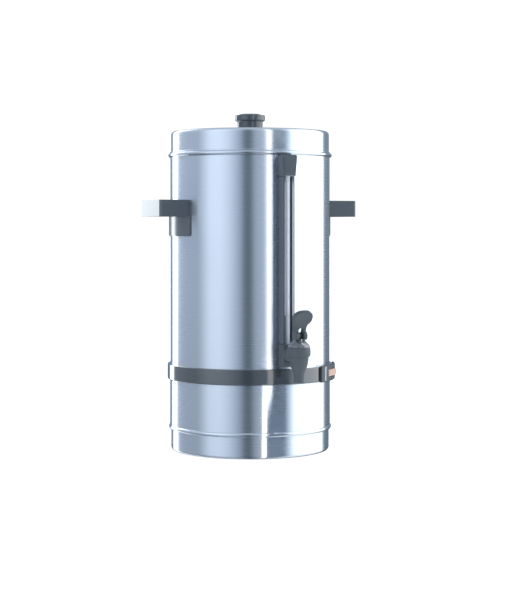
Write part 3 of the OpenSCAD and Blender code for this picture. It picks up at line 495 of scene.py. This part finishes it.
def lid():
    """A cap with a low crown and three steam holes, on a collar that drops into the tank."""
    r, side_h = 114, 31.4
    shoulder, flat = 5, 6  # the top's rounding, and the level rim inside it
    knob_seat = 19
    collar_play = 0.5
    hem_out, hem_h = 1.3, 1.6
    hem_foot, hem_edge, hem_root = 0.3, 0.5, 0.4  # roundings of the hem, from below
    crown_rings = 12
    holes, hole_r, hole_ring = 3, 2, 0.62 * r

    top_z, crown_z = rim_z + side_h, lid_high.z
    collar_r, collar_z = inner_r - collar_play, lid_low.z
    hem_r, hem_z = r + hem_out, rim_z + hem_h
    edge_r = r - shoulder - flat
    rise = crown_z - top_z
    sphere = (edge_r**2 + rise**2) / (2 * rise)

    def crown(x):
        return crown_z - sphere + math.sqrt(sphere**2 - x * x)

    rings = [edge_r + (knob_seat - edge_r) * i / crown_rings for i in range(crown_rings + 1)]
    outline = (
        [(collar_r, collar_z), (collar_r, rim_z)]
        + [(hem_r - hem_foot, rim_z), (hem_r, rim_z + hem_foot), (hem_r, hem_z - hem_edge)]
        + arc((hem_r - hem_edge, hem_z - hem_edge), hem_edge, 0, 80, steps=4)
        + arc((r + hem_root, hem_z + hem_root), hem_root, 270, 180, steps=4)
        + arc((r - shoulder, top_z - shoulder), shoulder, 0, 90, steps=12)
        + [(x, crown(x)) for x in rings]
        + [(0, crown_z), (0, crown_z - wall)]
        + [(x, crown(x) - wall) for x in reversed(rings)]
        + arc((r - shoulder, top_z - shoulder), shoulder - wall, 90, 0)
        + [(r - wall, hem_z + wall), (collar_r - wall, rim_z + wall), (collar_r - wall, collar_z)]
    )
    piece = turned("lid_cap", outline)
    for i in range(holes):
        turn = math.radians((i + 0.5) * 360 / holes)
        hole = cylinder("steam_hole", hole_r, top_z - 2 * OVERRUN, crown_z + 2 * OVERRUN, HOLE_STEPS)
        place(hole, (-hole_ring * math.sin(turn), hole_ring * math.cos(turn), 0))
        combine(piece, hole)
    dress(shade(piece), body_steel, "lid", "body_steel", "lid")


# The knob's flare below its brim: shares of its radius, and depths under the brim
KNOB_FLARE = ((0.86, 1.6), (0.90, 0.7), (0.97, 0.2))


def lid_knob():
    low, high, r = knob_low.z, knob_high.z, knob_high.x
    foot_r, waist_r, top_r = 0.82 * r, 0.845 * r, 0.70 * r
    draft, draft_h, waist_h = 0.5, 3, 7  # how the foot widens upwards
    foot_edge, edge, brim_h = 0.6, 1.4, 1.2
    fillet, fillet_h = 0.8, 0.35  # between the lip and the disc on top
    brim_share, lip_drop = 0.56, 1.6
    brim_z = low + brim_share * (high - low)
    lip_z = high - lip_drop
    outline = (
        [(0, low), (foot_r - foot_edge, low)]
        + arc((foot_r - foot_edge, low + foot_edge), foot_edge, -90, 0, steps=4)
        + [(foot_r + draft, low + draft_h), (waist_r, low + waist_h)]
        + [(share * r, brim_z - depth) for share, depth in KNOB_FLARE]
        + arc((r - edge, brim_z + brim_h), edge, -50, 0, steps=4)
        + arc((r - edge, lip_z - edge), edge, 0, 84, steps=6)
        + [(top_r + 2 * fillet, lip_z), (top_r + fillet, lip_z + fillet_h)]
        + arc((top_r - edge, high - edge), edge, 40, 90, steps=5)
        + [(0, high)]
    )
    dress(turned("knob", outline, KNOB_STEPS), black_gloss, "lid", "black_plastic", "lid_knob")


# Base

switch_room = 1.6  # round the rocker, in the band and in the shell behind it


def base_shell():
    """The wall below the band: a foot bead, a top flange, and holes for the inlet and the switch."""
    sheet, flange, chamfer, bead_h = 1.2, 11, 0.3, 6
    lower_share = 0.9  # of the bead's lower half, down to the chamfer
    inlet_w, inlet_h, inlet_corner, reach = 28.2, 20.4, 4, 30
    low, high = shell_low.z, base_h
    turn_r = shell_r - sheet
    bulge = (bead_h * bead_h / 4 + shell_poke**2) / (2 * shell_poke)
    half = math.degrees(math.asin(bead_h / 2 / bulge))
    outline = (
        [(turn_r, low), (shell_r - chamfer, low), (shell_r, low + chamfer)]
        + arc((shell_r + shell_poke - bulge, low + bead_h / 2), bulge, -half * lower_share, half, steps=10)
        + arc((turn_r, high - sheet), sheet, 0, 90, steps=5)
        + [(turn_r - flange, high), (turn_r - flange, high - sheet), (turn_r, high - sheet)]
    )
    shell = turned("base_shell_wall", outline)
    barrel = rounded(inlet_w, inlet_h, inlet_corner)
    inlet = extruded("inlet_hole", barrel, shell_r - reach, shell_r + reach)
    combine(shell, place(inlet, (0, 0, (inlet_low.z + inlet_high.z) / 2), (-90, 0, 0)))
    combine(shell, switch_hole("shell_hole", switch_room))
    dress(shade(shell), body_steel, "urn", "body_steel", "base_shell")


def base_skirt():
    """The skirt, curled in at its foot and stepped up to a ledge for the bottom cover."""
    curl_r, flat, slope, step, ledge, lap = 4, 3.3, 2.5, 2.5, 8, 0.5
    r, low, high = skirt_high.x, skirt_low.z, skirt_high.z
    curl = (r - curl_r, low + curl_r)
    flat_r = curl[0] - flat
    step_r = flat_r - slope
    under, over = low + step, low + step + wall
    outline = (
        [(r - wall, high), (r, high)]
        + arc(curl, curl_r, 0, -90, steps=10)
        + [(flat_r, low), (step_r, under), (step_r - ledge, under), (step_r - ledge, over)]
        + [(step_r + lap, over), (flat_r + lap, low + wall)]
        + arc(curl, curl_r - wall, -90, 0)
    )
    dress(turned("skirt_wall", outline), body_steel, "urn", "body_steel", "base_skirt")


def foot_ring():
    """The rubber ring that the urn stands on, with three grooves below."""
    width, chamfer = 10, 1
    grooves, first, pitch, groove = 3, 3, 2, 0.8
    outer, top = foot_high.x, foot_high.z
    inner = outer - width
    outline = [(inner, chamfer), (inner + chamfer, 0)]
    for i in range(grooves):
        middle = inner + first + pitch * i
        outline += [(middle - groove / 2, 0), (middle, groove), (middle + groove / 2, 0)]
    outline += [(outer - chamfer, 0), (outer, chamfer), (outer, top), (inner, top)]
    dress(turned("foot_ring_rubber", outline), rubber, "urn", "foot_rubber", "foot_ring")


# Band and switch

control_angle = 49  # of the rocker, in degrees from the tap towards +X
rocker_w, rocker_h = 32, 9.5


def switch_hole(name, margin):
    """A tool for the rocker's opening, with room round the rocker."""
    depth, corner = 60, 0.5
    z = (band_low.z + band_high.z) / 2
    box = rounded(rocker_w + 2 * margin, depth, corner, steps=2)
    hole = extruded(name, box, z - rocker_h / 2 - margin, z + rocker_h / 2 + margin)
    place(hole, (0, -band_high.y, 0))
    return place(hole, turn=(0, 0, control_angle))


def trim_band():
    """The band over the joint of tank and base, with a lip to each of them."""
    edge, lip, skin = 1.5, 2, 2
    r, low, high = band_high.x, band_low.z, band_high.z
    foot_r, back_r = shell_r + gap, r - skin
    outline = (
        [(foot_r, low)]
        + arc((r - edge, low + edge), edge, -90, 0)
        + arc((r - edge, high - edge), edge, 0, 90)
        + [(seat_r, high), (seat_r, high - lip), (back_r, high - lip)]
        + [(back_r, low + lip), (foot_r, low + lip)]
    )
    piece = turned("band", outline)
    combine(piece, switch_hole("band_hole", switch_room))
    dress(shade(piece), band_gloss, "urn", "band_plastic", "trim_band")


def control_housing():
    """The housing that follows the band round the rocker, and a jamb at each of its sides, whose pale grey
    is partly a painted highlight.
    """
    thick, overlap, edge, rocker_play = 3, 0.7, 1.5, 0.5
    near, far = -18, 22  # ends of the housing, in degrees from the rocker
    jamb_turn, jamb_short, sunk, proud = 1.8, 1.6, 1, 0.3
    inner = band_high.x + gap
    outer = inner + thick
    low, high = band_low.z - overlap, band_high.z + overlap
    outline = (
        [(inner, low)]
        + arc((outer - edge, low + edge), edge, -90, 0, steps=5)
        + arc((outer - edge, high - edge), edge, 0, 90, steps=5)
        + [(inner, high)]
    )
    piece = swept("switch_housing", outline, control_angle + near, control_angle + far, steps=40)
    combine(piece, switch_hole("housing_hole", rocker_play))
    soften(piece, width=0.5, angle=50)
    dress(piece, switch_black, "urn", "band_plastic", "control_housing")

    # The jambs' pale grey is partly their own colour and partly a painted highlight of the strip light
    jamb = [(outer - sunk, low + jamb_short), (outer + proud, low + jamb_short)]
    jamb += [(outer + proud, high - jamb_short), (outer - sunk, high - jamb_short)]
    for side, away in (("near", -13.9), ("far", 12.1)):
        start = control_angle + away
        strip = swept("switch_jamb_" + side, jamb, start, start + jamb_turn, steps=6)
        soften(strip, width=0.2, segments=2, angle=50)
        dress(strip, silver_grey, "urn", "band_plastic")


# Handles


def handle(name, side, node):
    """A grip that is hollow from below, with two ribs, and the curved plate that carries it."""
    width, thick, skin, plate_t = 74, 23.4, 3.2, 2
    grip_corner, hollow_corner, plate_corner = 3, 1.5, 4
    rib_w, rib_h, rib_x, rib_play, rib_corner = 2, 4, 13.3, 4, 0.3
    plate_reach, plate_spare = 30, 5  # how far its blank and its tool reach past the plate
    low, high, reach = grip_low.z, grip_high.z, grip_high.x
    ceiling, face_r = high - skin, seat_r + plate_t

    grip = extruded(name + "_grip", rounded(width, reach, grip_corner), high - thick, high)
    place(grip, (0, -reach / 2, 0))
    hollow = rounded(width - 2 * skin, reach, hollow_corner)
    cavity = extruded("cavity", hollow, high - thick - OVERRUN, ceiling)
    place(cavity, (0, skin - reach / 2, 0))
    combine(grip, cavity)
    for k in (-1, 1):
        flat_rib = rounded(rib_w, reach - rib_play, rib_corner, steps=2)
        rib = extruded("rib", flat_rib, ceiling - rib_h, ceiling + OVERRUN)
        place(rib, (rib_x * k, -reach / 2, 0))
        combine(grip, rib, "UNION")
    soften(grip, width=1.1)
    combine(grip, tank_core(seat_r + plate_t / 2))
    shade(grip)

    flat_plate = rounded(width + 2 * plate_t, high - low, plate_corner)
    plate = extruded("plate", flat_plate, 0, tank_r + plate_reach)
    place(plate, (0, 0, (low + high) / 2), (90, 0, 0))
    shell = [(seat_r, low - plate_spare), (face_r, low - plate_spare)]
    shell += [(face_r, high + plate_spare), (seat_r, high + plate_spare)]
    combine(plate, turned("shell", shell, CORE_STEPS), "INTERSECT")
    soften(plate, width=0.7)
    plate.name = plate.data.name = name + "_plate"

    for piece in (grip, plate):
        place(piece, turn=(0, 0, side * 90))
    dress(grip, black_gloss, "urn", "black_plastic", node)
    dress(plate, black_gloss, "urn", "black_plastic")


# Gauge

glass_y = -123
guard_half = 9.5  # of the guard's width
socket_r = 5.8  # round the sight glass's ends


def gauge_guard():
    """The channel round the sight glass, open to the front between two lips."""
    skin, lip, lip_t, edge, back_play = 2, 3, 1.8, 2.2, 1.4
    front, back = -guard_low.y, tank_r + back_play
    inside = guard_half - skin
    mouth = inside - lip
    right = [(inside, -back), (inside, -front + lip_t), (mouth, -front + lip_t), (mouth, -front)]
    right += arc((guard_half - edge, edge - front), edge, -90, 0, steps=6)
    right += [(guard_half, -inner_r)]
    piece = extruded("gauge_channel", mirrored(right), guard_low.z, guard_high.z)
    combine(piece, tank_core(seat_r))
    dress(soften(piece, width=0.6), black_gloss, "urn", "black_plastic", "gauge_guard")


def sight_glass():
    tube_wall, melt = 1, 0.3  # the ends are melted round
    r, low, high = glass_high.x, glass_low.z, glass_high.z
    bore = r - tube_wall
    outline = [(bore, low + melt), (bore + melt, low), (r - melt, low), (r, low + melt)]
    outline += [(r, high - melt), (r - melt, high), (bore + melt, high), (bore, high - melt)]
    tube = place(turned("sight_glass", outline, SMALL_STEPS), (0, glass_y, 0))
    dress(tube, glass, "urn", "gauge_glass", "gauge_glass")


def gauge_cap():
    """The block on top of the guard, which widens upwards and holds the glass's upper end."""
    chamfer, socket_h = 2, 11
    low, high, top = cap_low.z, cap_high.z, cap_high.x
    outline = mirrored([(guard_half, low), (top, high - chamfer), (top - chamfer, high)])
    piece = extruded("gauge_cap_block", outline, inner_r, -cap_low.y)
    place(piece, turn=(90, 0, 0))
    combine(piece, tank_core(seat_r))
    socket = cylinder("socket", socket_r, low - OVERRUN, low + socket_h)
    combine(piece, place(socket, (0, glass_y, 0)))
    dress(soften(piece, width=1.0), black_gloss, "urn", "black_plastic", "gauge_cap")


# Tap

valve_y = (pin_low.y + pin_high.y) / 2
pin_z = (pin_low.z + pin_high.z) / 2
shank_z = 147
valve_mouth = 0.95 * valve_high.x  # outer radius of the joint of valve and dome

# Shares of the valve's radius, and of the drop from its arm to the spout
BODY_SHARES = (
    (0.54, 0.55), (0.68, 0.43), (0.75, 0.325), (0.81, 0.18), (0.845, 0.045),
    (0.95, 0.03), (0.985, -0.03), (1, -0.12), (0.985, -0.22),
)
# Shares of the dome's foot and of its height
DOME_SHARES = (
    (0.995, 0.08), (0.965, 0.2), (0.915, 0.32), (0.85, 0.46),
    (0.77, 0.6), (0.68, 0.74), (0.6, 0.86), (0.555, 0.95),
)


def tap_block():
    """The block that joins tank, gauge and valve, with the shank behind it and the arm before it."""
    front, low, depth, corner = 131, 129, 40, 2.5
    gasket, socket_h = 1.6, 9.5
    thread_r, thread_back, thread_front = 9.5, 96, 116
    arm_r, arm_lap = 10.4, 10
    half, high = block_high.x, block_high.z

    block = extruded("tap_block", rounded(2 * half, depth, corner), low, high)
    place(block, (0, depth / 2 - front, 0))
    combine(block, tank_core(tank_r + gasket))
    socket = cylinder("socket", socket_r, high - socket_h, rim_z)
    combine(block, place(socket, (0, glass_y, 0)))
    soften(block, width=1.0)
    dress(block, tap_black, "urn", "black_plastic")

    thread = rod("tap_thread", thread_r, thread_back, thread_front, shank_z)
    dress(thread, tap_black, "urn", "black_plastic", "tap_shank")
    arm = rod("valve_arm", arm_r, front + gap, -valve_y - arm_lap, shank_z)
    dress(arm, tap_black, "urn", "black_plastic")


def valve_body():
    """The valve's cup, open on top for the dome, with its spout below."""
    bore, spout_r, chamber, plug = 4.6, 7, 11, 12.6
    spout_share = 0.27  # of the drop
    plug_h, chamber_drop, seat_drop = 6, 8, 15  # the last two from the arm's middle
    bevel, spout_edge, rim_edge = 0.4, 0.6, 0.3
    r, top, low = valve_high.x, valve_high.z, valve_low.z
    drop = shank_z - low
    outline = (
        [(bore, low + bevel), (bore + bevel, low), (spout_r - spout_edge, low)]
        + arc((spout_r - spout_edge, low + spout_edge), spout_edge, -90, 0, steps=4)
        + [(spout_r, low + drop * spout_share)]
        + [(r * a, shank_z - drop * b) for a, b in BODY_SHARES]
        + [(valve_mouth, top - rim_edge), (valve_mouth - rim_edge, top), (plug, top)]
        + [(plug, top - plug_h), (chamber, top - plug_h), (chamber, shank_z - chamber_drop)]
        + [(bore, shank_z - seat_drop)]
    )
    body = place(turned("valve_body", outline, TAP_STEPS), (0, valve_y, 0))
    dress(body, tap_black, "urn", "black_plastic", "tap_body")


def valve_dome():
    """The bonnet that the lever's heels roll on, with a hole for the stem."""
    stem, flat, rim_edge = 3.05, 8, 0.3
    low, high = valve_high.z, bonnet_high.z
    foot_z = low + gap
    outline = (
        [(stem, foot_z), (valve_mouth - rim_edge, foot_z), (valve_mouth, foot_z + rim_edge)]
        + [(valve_mouth * a, low + (high - low) * b) for a, b in DOME_SHARES]
        + [(flat, high), (stem, high)]
    )
    dome = place(turned("valve_dome", outline, TAP_STEPS), (0, valve_y, 0))
    dress(dome, dome_gloss, "urn", "black_plastic", "tap_bonnet")


def tap_lever():
    """The lever: a front outline, cut to a bent side and joined to round heels, then smoothed as one."""
    lean, length, thick = 20, 39.5, 8
    neck, waist_share, waist_z = 8.2, 0.92, 12.6
    half, tip_r, hip_r, hip_z = 13.5, 12, 9, 25.8
    sweep, bend = 60, 0.3 * length  # radius of the bent side, and its height where it stands upright
    face_share, back_share = 0.62, 0.60  # of the length, along the bend
    tip_front, tip_back = 1.15 * thick, 0.55 * thick
    heel_r, heel_less, ahead = 5.4, 0.4, 5
    fork, fork_h, fork_play = 6.6, 12.5, 0.1
    swell = 0.45  # what the smoothing takes off a heel again
    voxel, smoothing, rounds = 0.4, 0.5, 14

    front = mirrored(
        [(neck, 0), (waist_share * neck, waist_z)]
        + arc((half - hip_r, hip_z), hip_r, -60, 0)
        + arc((half - tip_r, length - tip_r), tip_r, 0, 90)
    )
    face = 180 - math.degrees(math.asin(face_share * length / sweep))
    back = 180 - math.degrees(math.asin(back_share * length / sweep))
    side = (
        [(-thick / 2, -heel_r), (thick / 2, -heel_r)]
        + arc((sweep + thick / 2, bend), sweep, 180, face)
        + [(tip_front, length), (tip_back, length)]
        + arc((sweep - thick / 2, bend), sweep, back, 180)
    )
    blade = place(extruded("lever", front, -sweep, sweep), turn=(90, 0, 0))
    trim = place(extruded("trim", side, -2 * half, 2 * half), turn=(90, 0, -90))
    combine(blade, trim, "INTERSECT")
    place(blade, turn=(lean, 0, 0))
    for forward, r in ((0, heel_r - heel_less + swell), (ahead, heel_r + swell)):
        heel = place(cylinder("heel", r, -neck, neck), (0, -forward, 0), (0, 90, 0))
        combine(blade, heel, "UNION")
    slot = [(x, y - length + fork_h) for x, y in rounded(fork, 2 * length, fork / 2 - fork_play)]
    combine(blade, place(extruded("slot", slot, -sweep, sweep), turn=(90 + lean, 0, 0)))

    pick(blade)
    even = blade.modifiers.new("even", "REMESH")
    even.mode, even.voxel_size, even.use_smooth_shade = "VOXEL", voxel * MM, True
    ops.object.modifier_apply(modifier=even.name)
    flow = blade.modifiers.new("flow", "SMOOTH")
    flow.factor, flow.iterations = smoothing, rounds
    ops.object.modifier_apply(modifier=flow.name)
    place(blade, (0, valve_y, pin_z))
    dress(blade, tap_black, "lever", "black_plastic", "tap_lever")


# Pieces that keep their solid

KEPT = {
    "lid_knob_screw": chrome,
    "handle_screws": chrome,
    "rocker_switch": amber,
    "switch_body": black_matt,
    "gauge_cap_screw": chrome,
    "gauge_seals": silicone,
    "tap_gaskets": black_matt,
    "tap_nut": white_plastic,
    "lever_pin": black_matt,
    "valve_stem": black_matt,
    "seat_cup": silicone,
    "stem_spring": chrome,
    "pump_stem": inner_steel,
    "pump_foot": inner_steel,
    "coffee_basket": inner_steel,
    "basket_spreader": inner_steel,
    "heating_element": sheath,
    "heater_plate": cast,
    "thermostat": white_plastic,
    "thermal_cutout": sheath,
    "terminal_block": white_plastic,
    "appliance_inlet": black_matt,
    "inlet_pins": brass,
    "bottom_cover": cover_steel,
    "cover_screws": chrome,
}


def kept_nodes():
    for name, look in KEPT.items():
        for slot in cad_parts[name].material_slots:
            slot.material = look


# Studio

# Brightness of the studio round the urn, by the angle from the camera in degrees, positive to its right
STUDIO = (
    (-180, (0.20, 0.26, 0.33)),
    (-156, (0.22, 0.28, 0.35)),
    (-149, (0.60, 0.68, 0.80)),
    (-143, (4.4, 4.7, 4.9)),
    (-134.5, (4.4, 4.7, 4.9)),
    (-131, (2.0, 2.1, 2.2)),
    (-128, (0.50, 0.58, 0.70)),
    (-80, (0.49, 0.57, 0.68)),
    (-60, (1.00, 1.13, 1.31)),
    (-44, (1.02, 1.16, 1.34)),
    (-31, (0.84, 0.96, 1.13)),
    (-20, (0.57, 0.67, 0.82)),
    (-14, (0.43, 0.51, 0.63)),
    (-8, (0.18, 0.23, 0.29)),
    (-3, (0.12, 0.16, 0.20)),
    (1, (0.16, 0.21, 0.25)),
    (8, (0.45, 0.53, 0.63)),
    (22.5, (0.54, 0.64, 0.77)),
    (25.5, (2.2, 2.2, 2.2)),
    (31, (2.2, 2.2, 2.2)),
    (32.5, (0.20, 0.26, 0.33)),
    (40, (0.26, 0.33, 0.42)),
    (48, (0.20, 0.26, 0.34)),
    (54, (0.42, 0.50, 0.60)),
    (60, (0.95, 1.15, 1.35)),
    (68, (1.9, 2.1, 2.2)),
    (130, (2.2, 2.2, 2.2)),
    (133, (0.36, 0.43, 0.50)),
    (145, (0.22, 0.27, 0.33)),
    (180, (0.20, 0.26, 0.33)),
)
STUDIO_TOP = 5.0  # past the brightest of these, because a ramp holds no more than one

# Up from the horizon the room grows brighter, within limits. A height is that of a unit direction.
RISE = 2.3
RISE_FOOT = 0.02  # how far below the horizon the level is its own
RISE_LIMITS = (0.55, 1.25)
CEILING = (0.62, 0.70, 0.80)
CEILING_FROM, CEILING_FULL = 0.45, 0.9
BACKDROP = 1.05  # what the camera itself sees

FLOOR_R = 40  # metres
FLOOR_STEPS = 128
FLOOR_DROP = 0.2  # keeps the floor clear of the foot ring

# Sheets that only the polish shows: how far each stands before the axis, and its outline, across and up.
# The flag keeps the strip light off the steel below the tap, and the card carries it down on its left.
# The gauge's flag darkens the steel at its left, and the gauge's card lights its right lip.
SHEETS = {
    "flag": (166, [(-27, -70), (30, -70), (30, 105), (-11, 105), (-11, 91), (-27, 65)]),
    "card": (169, [(-38, -70), (-5, -70), (-5, 97), (-38, 97)]),
    "gauge_flag": (134, [(-14.4, 126), (-5, 126), (-5, 418), (-15.6, 418), (-14.4, 396)]),
    "gauge_card": (185, [(22, 196), (44, 196), (44, 384), (22, 384)]),
}
SHEET_T = 1


def room():
    """The soft studio: bright and dark by direction, with a ceiling, and white to the camera."""
    world = bpy.data.worlds.new("studio")
    bpy.context.scene.world = world
    world.use_nodes = True
    web = Web(world.node_tree)
    split = web.node("SeparateXYZ", {}, {"Vector": web.node("TexCoord").part("Generated")})
    x, y, z = split, split.part("Y"), split.part("Z")
    azimuth = web.maths("ARCTAN2", x, 0 - y)
    turn = web.maths("FRACT", (azimuth - CAMERA_AZIMUTH) / (2 * math.pi) + 0.5)
    stops = [((angle + 180) / 360, tinted(colour, 1 / STUDIO_TOP)) for angle, colour in STUDIO]
    sides = web.node("ValToRGB", {"stops": stops}, {0: turn})
    ceiling = {"Value": z, "From Min": CEILING_FROM, "From Max": CEILING_FULL}
    overhead = web.node("MapRange", {"interpolation_type": "SMOOTHSTEP"}, ceiling)
    darkest, brightest = RISE_LIMITS
    rise = web.maths("MAXIMUM", 1 + RISE * (z + RISE_FOOT), darkest)
    rise = web.maths("MINIMUM", rise, brightest)
    level = web.node("VectorMath", {"operation": "SCALE"}, {0: sides, "Scale": rise})
    light = web.mixed(overhead, level, tinted(CEILING, 1 / STUDIO_TOP))
    lit = web.node("Background", {}, {"Color": light, "Strength": STUDIO_TOP})
    plain = web.node("Background", {}, {"Color": (1, 1, 1, 1), "Strength": BACKDROP})
    seen = web.node("LightPath").part("Is Camera Ray")
    web.node("OutputWorld", {}, {"Surface": web.node("MixShader", {}, {0: seen, 1: lit, 2: plain})})


def paper_floor():
    paper = Finish("paper_floor", roughness=0.9, emission_strength=0.72)
    paper.feed("Base Color", paper.mixed(paper.noise(scale=3), (0.86, 0.86, 0.86), (0.9, 0.9, 0.9)))
    paper.feed("Emission Color", (1.0, 1.0, 1.0))
    ops.object.select_all(action="DESELECT")
    drop = (0, 0, -FLOOR_DROP * MM)
    ops.mesh.primitive_circle_add(vertices=FLOOR_STEPS, radius=FLOOR_R, fill_type="NGON", location=drop)
    floor = bpy.context.object
    floor.name = "floor"
    floor.data.materials.append(paper.material)
    floor.visible_glossy = False


def card_light(name, strength):
    look = Finish(name, emission_strength=strength, roughness=0.9)
    look.feed("Emission Color", look.mixed(look.noise(scale=5), (0.96, 0.98, 1), (1, 1, 1)))
    return look.material


def sheets():
    looks = {
        "flag": moulded("flag_felt", (0.23, 0.28, 0.34), roughness=0.95, shine=0.1),
        "gauge_flag": moulded("pale_felt", (0.38, 0.45, 0.54), roughness=0.95, shine=0.1),
        "card": card_light("card_light", strength=2.4),
        "gauge_card": card_light("strip_light", strength=6),
    }
    for name, (away, outline) in SHEETS.items():
        sheet = place(extruded(name, outline, away, away + SHEET_T), turn=(90, 0, 0))
        sheet.data.materials.append(looks[name])
        sheet.visible_camera = sheet.visible_diffuse = sheet.visible_shadow = False


def photo_camera():
    lens = bpy.data.cameras.new("camera")
    lens.lens, lens.sensor_width = LENS, SENSOR_WIDTH
    lens.shift_x, lens.shift_y = LENS_SHIFT
    camera = bpy.data.objects.new("camera", lens)
    bpy.context.scene.collection.objects.link(camera)
    toward = Vector((math.sin(CAMERA_AZIMUTH), -math.cos(CAMERA_AZIMUTH), 0)) * CAMERA_DISTANCE
    camera.location = (toward + Vector((0, 0, CAMERA_HEIGHT))) * MM
    camera.rotation_euler = (math.pi / 2, 0, CAMERA_AZIMUTH)
    bpy.context.scene.camera = camera
    bpy.context.scene.view_settings.view_transform = "Standard"


room()
paper_floor()
sheets()
photo_camera()
tank()
lid()
lid_knob()
base_shell()
base_skirt()
foot_ring()
trim_band()
control_housing()
handle("left", -1, "handle_left")
handle("right", 1, "handle_right")
gauge_guard()
sight_glass()
gauge_cap()
tap_block()
valve_body()
valve_dome()
tap_lever()
kept_nodes()
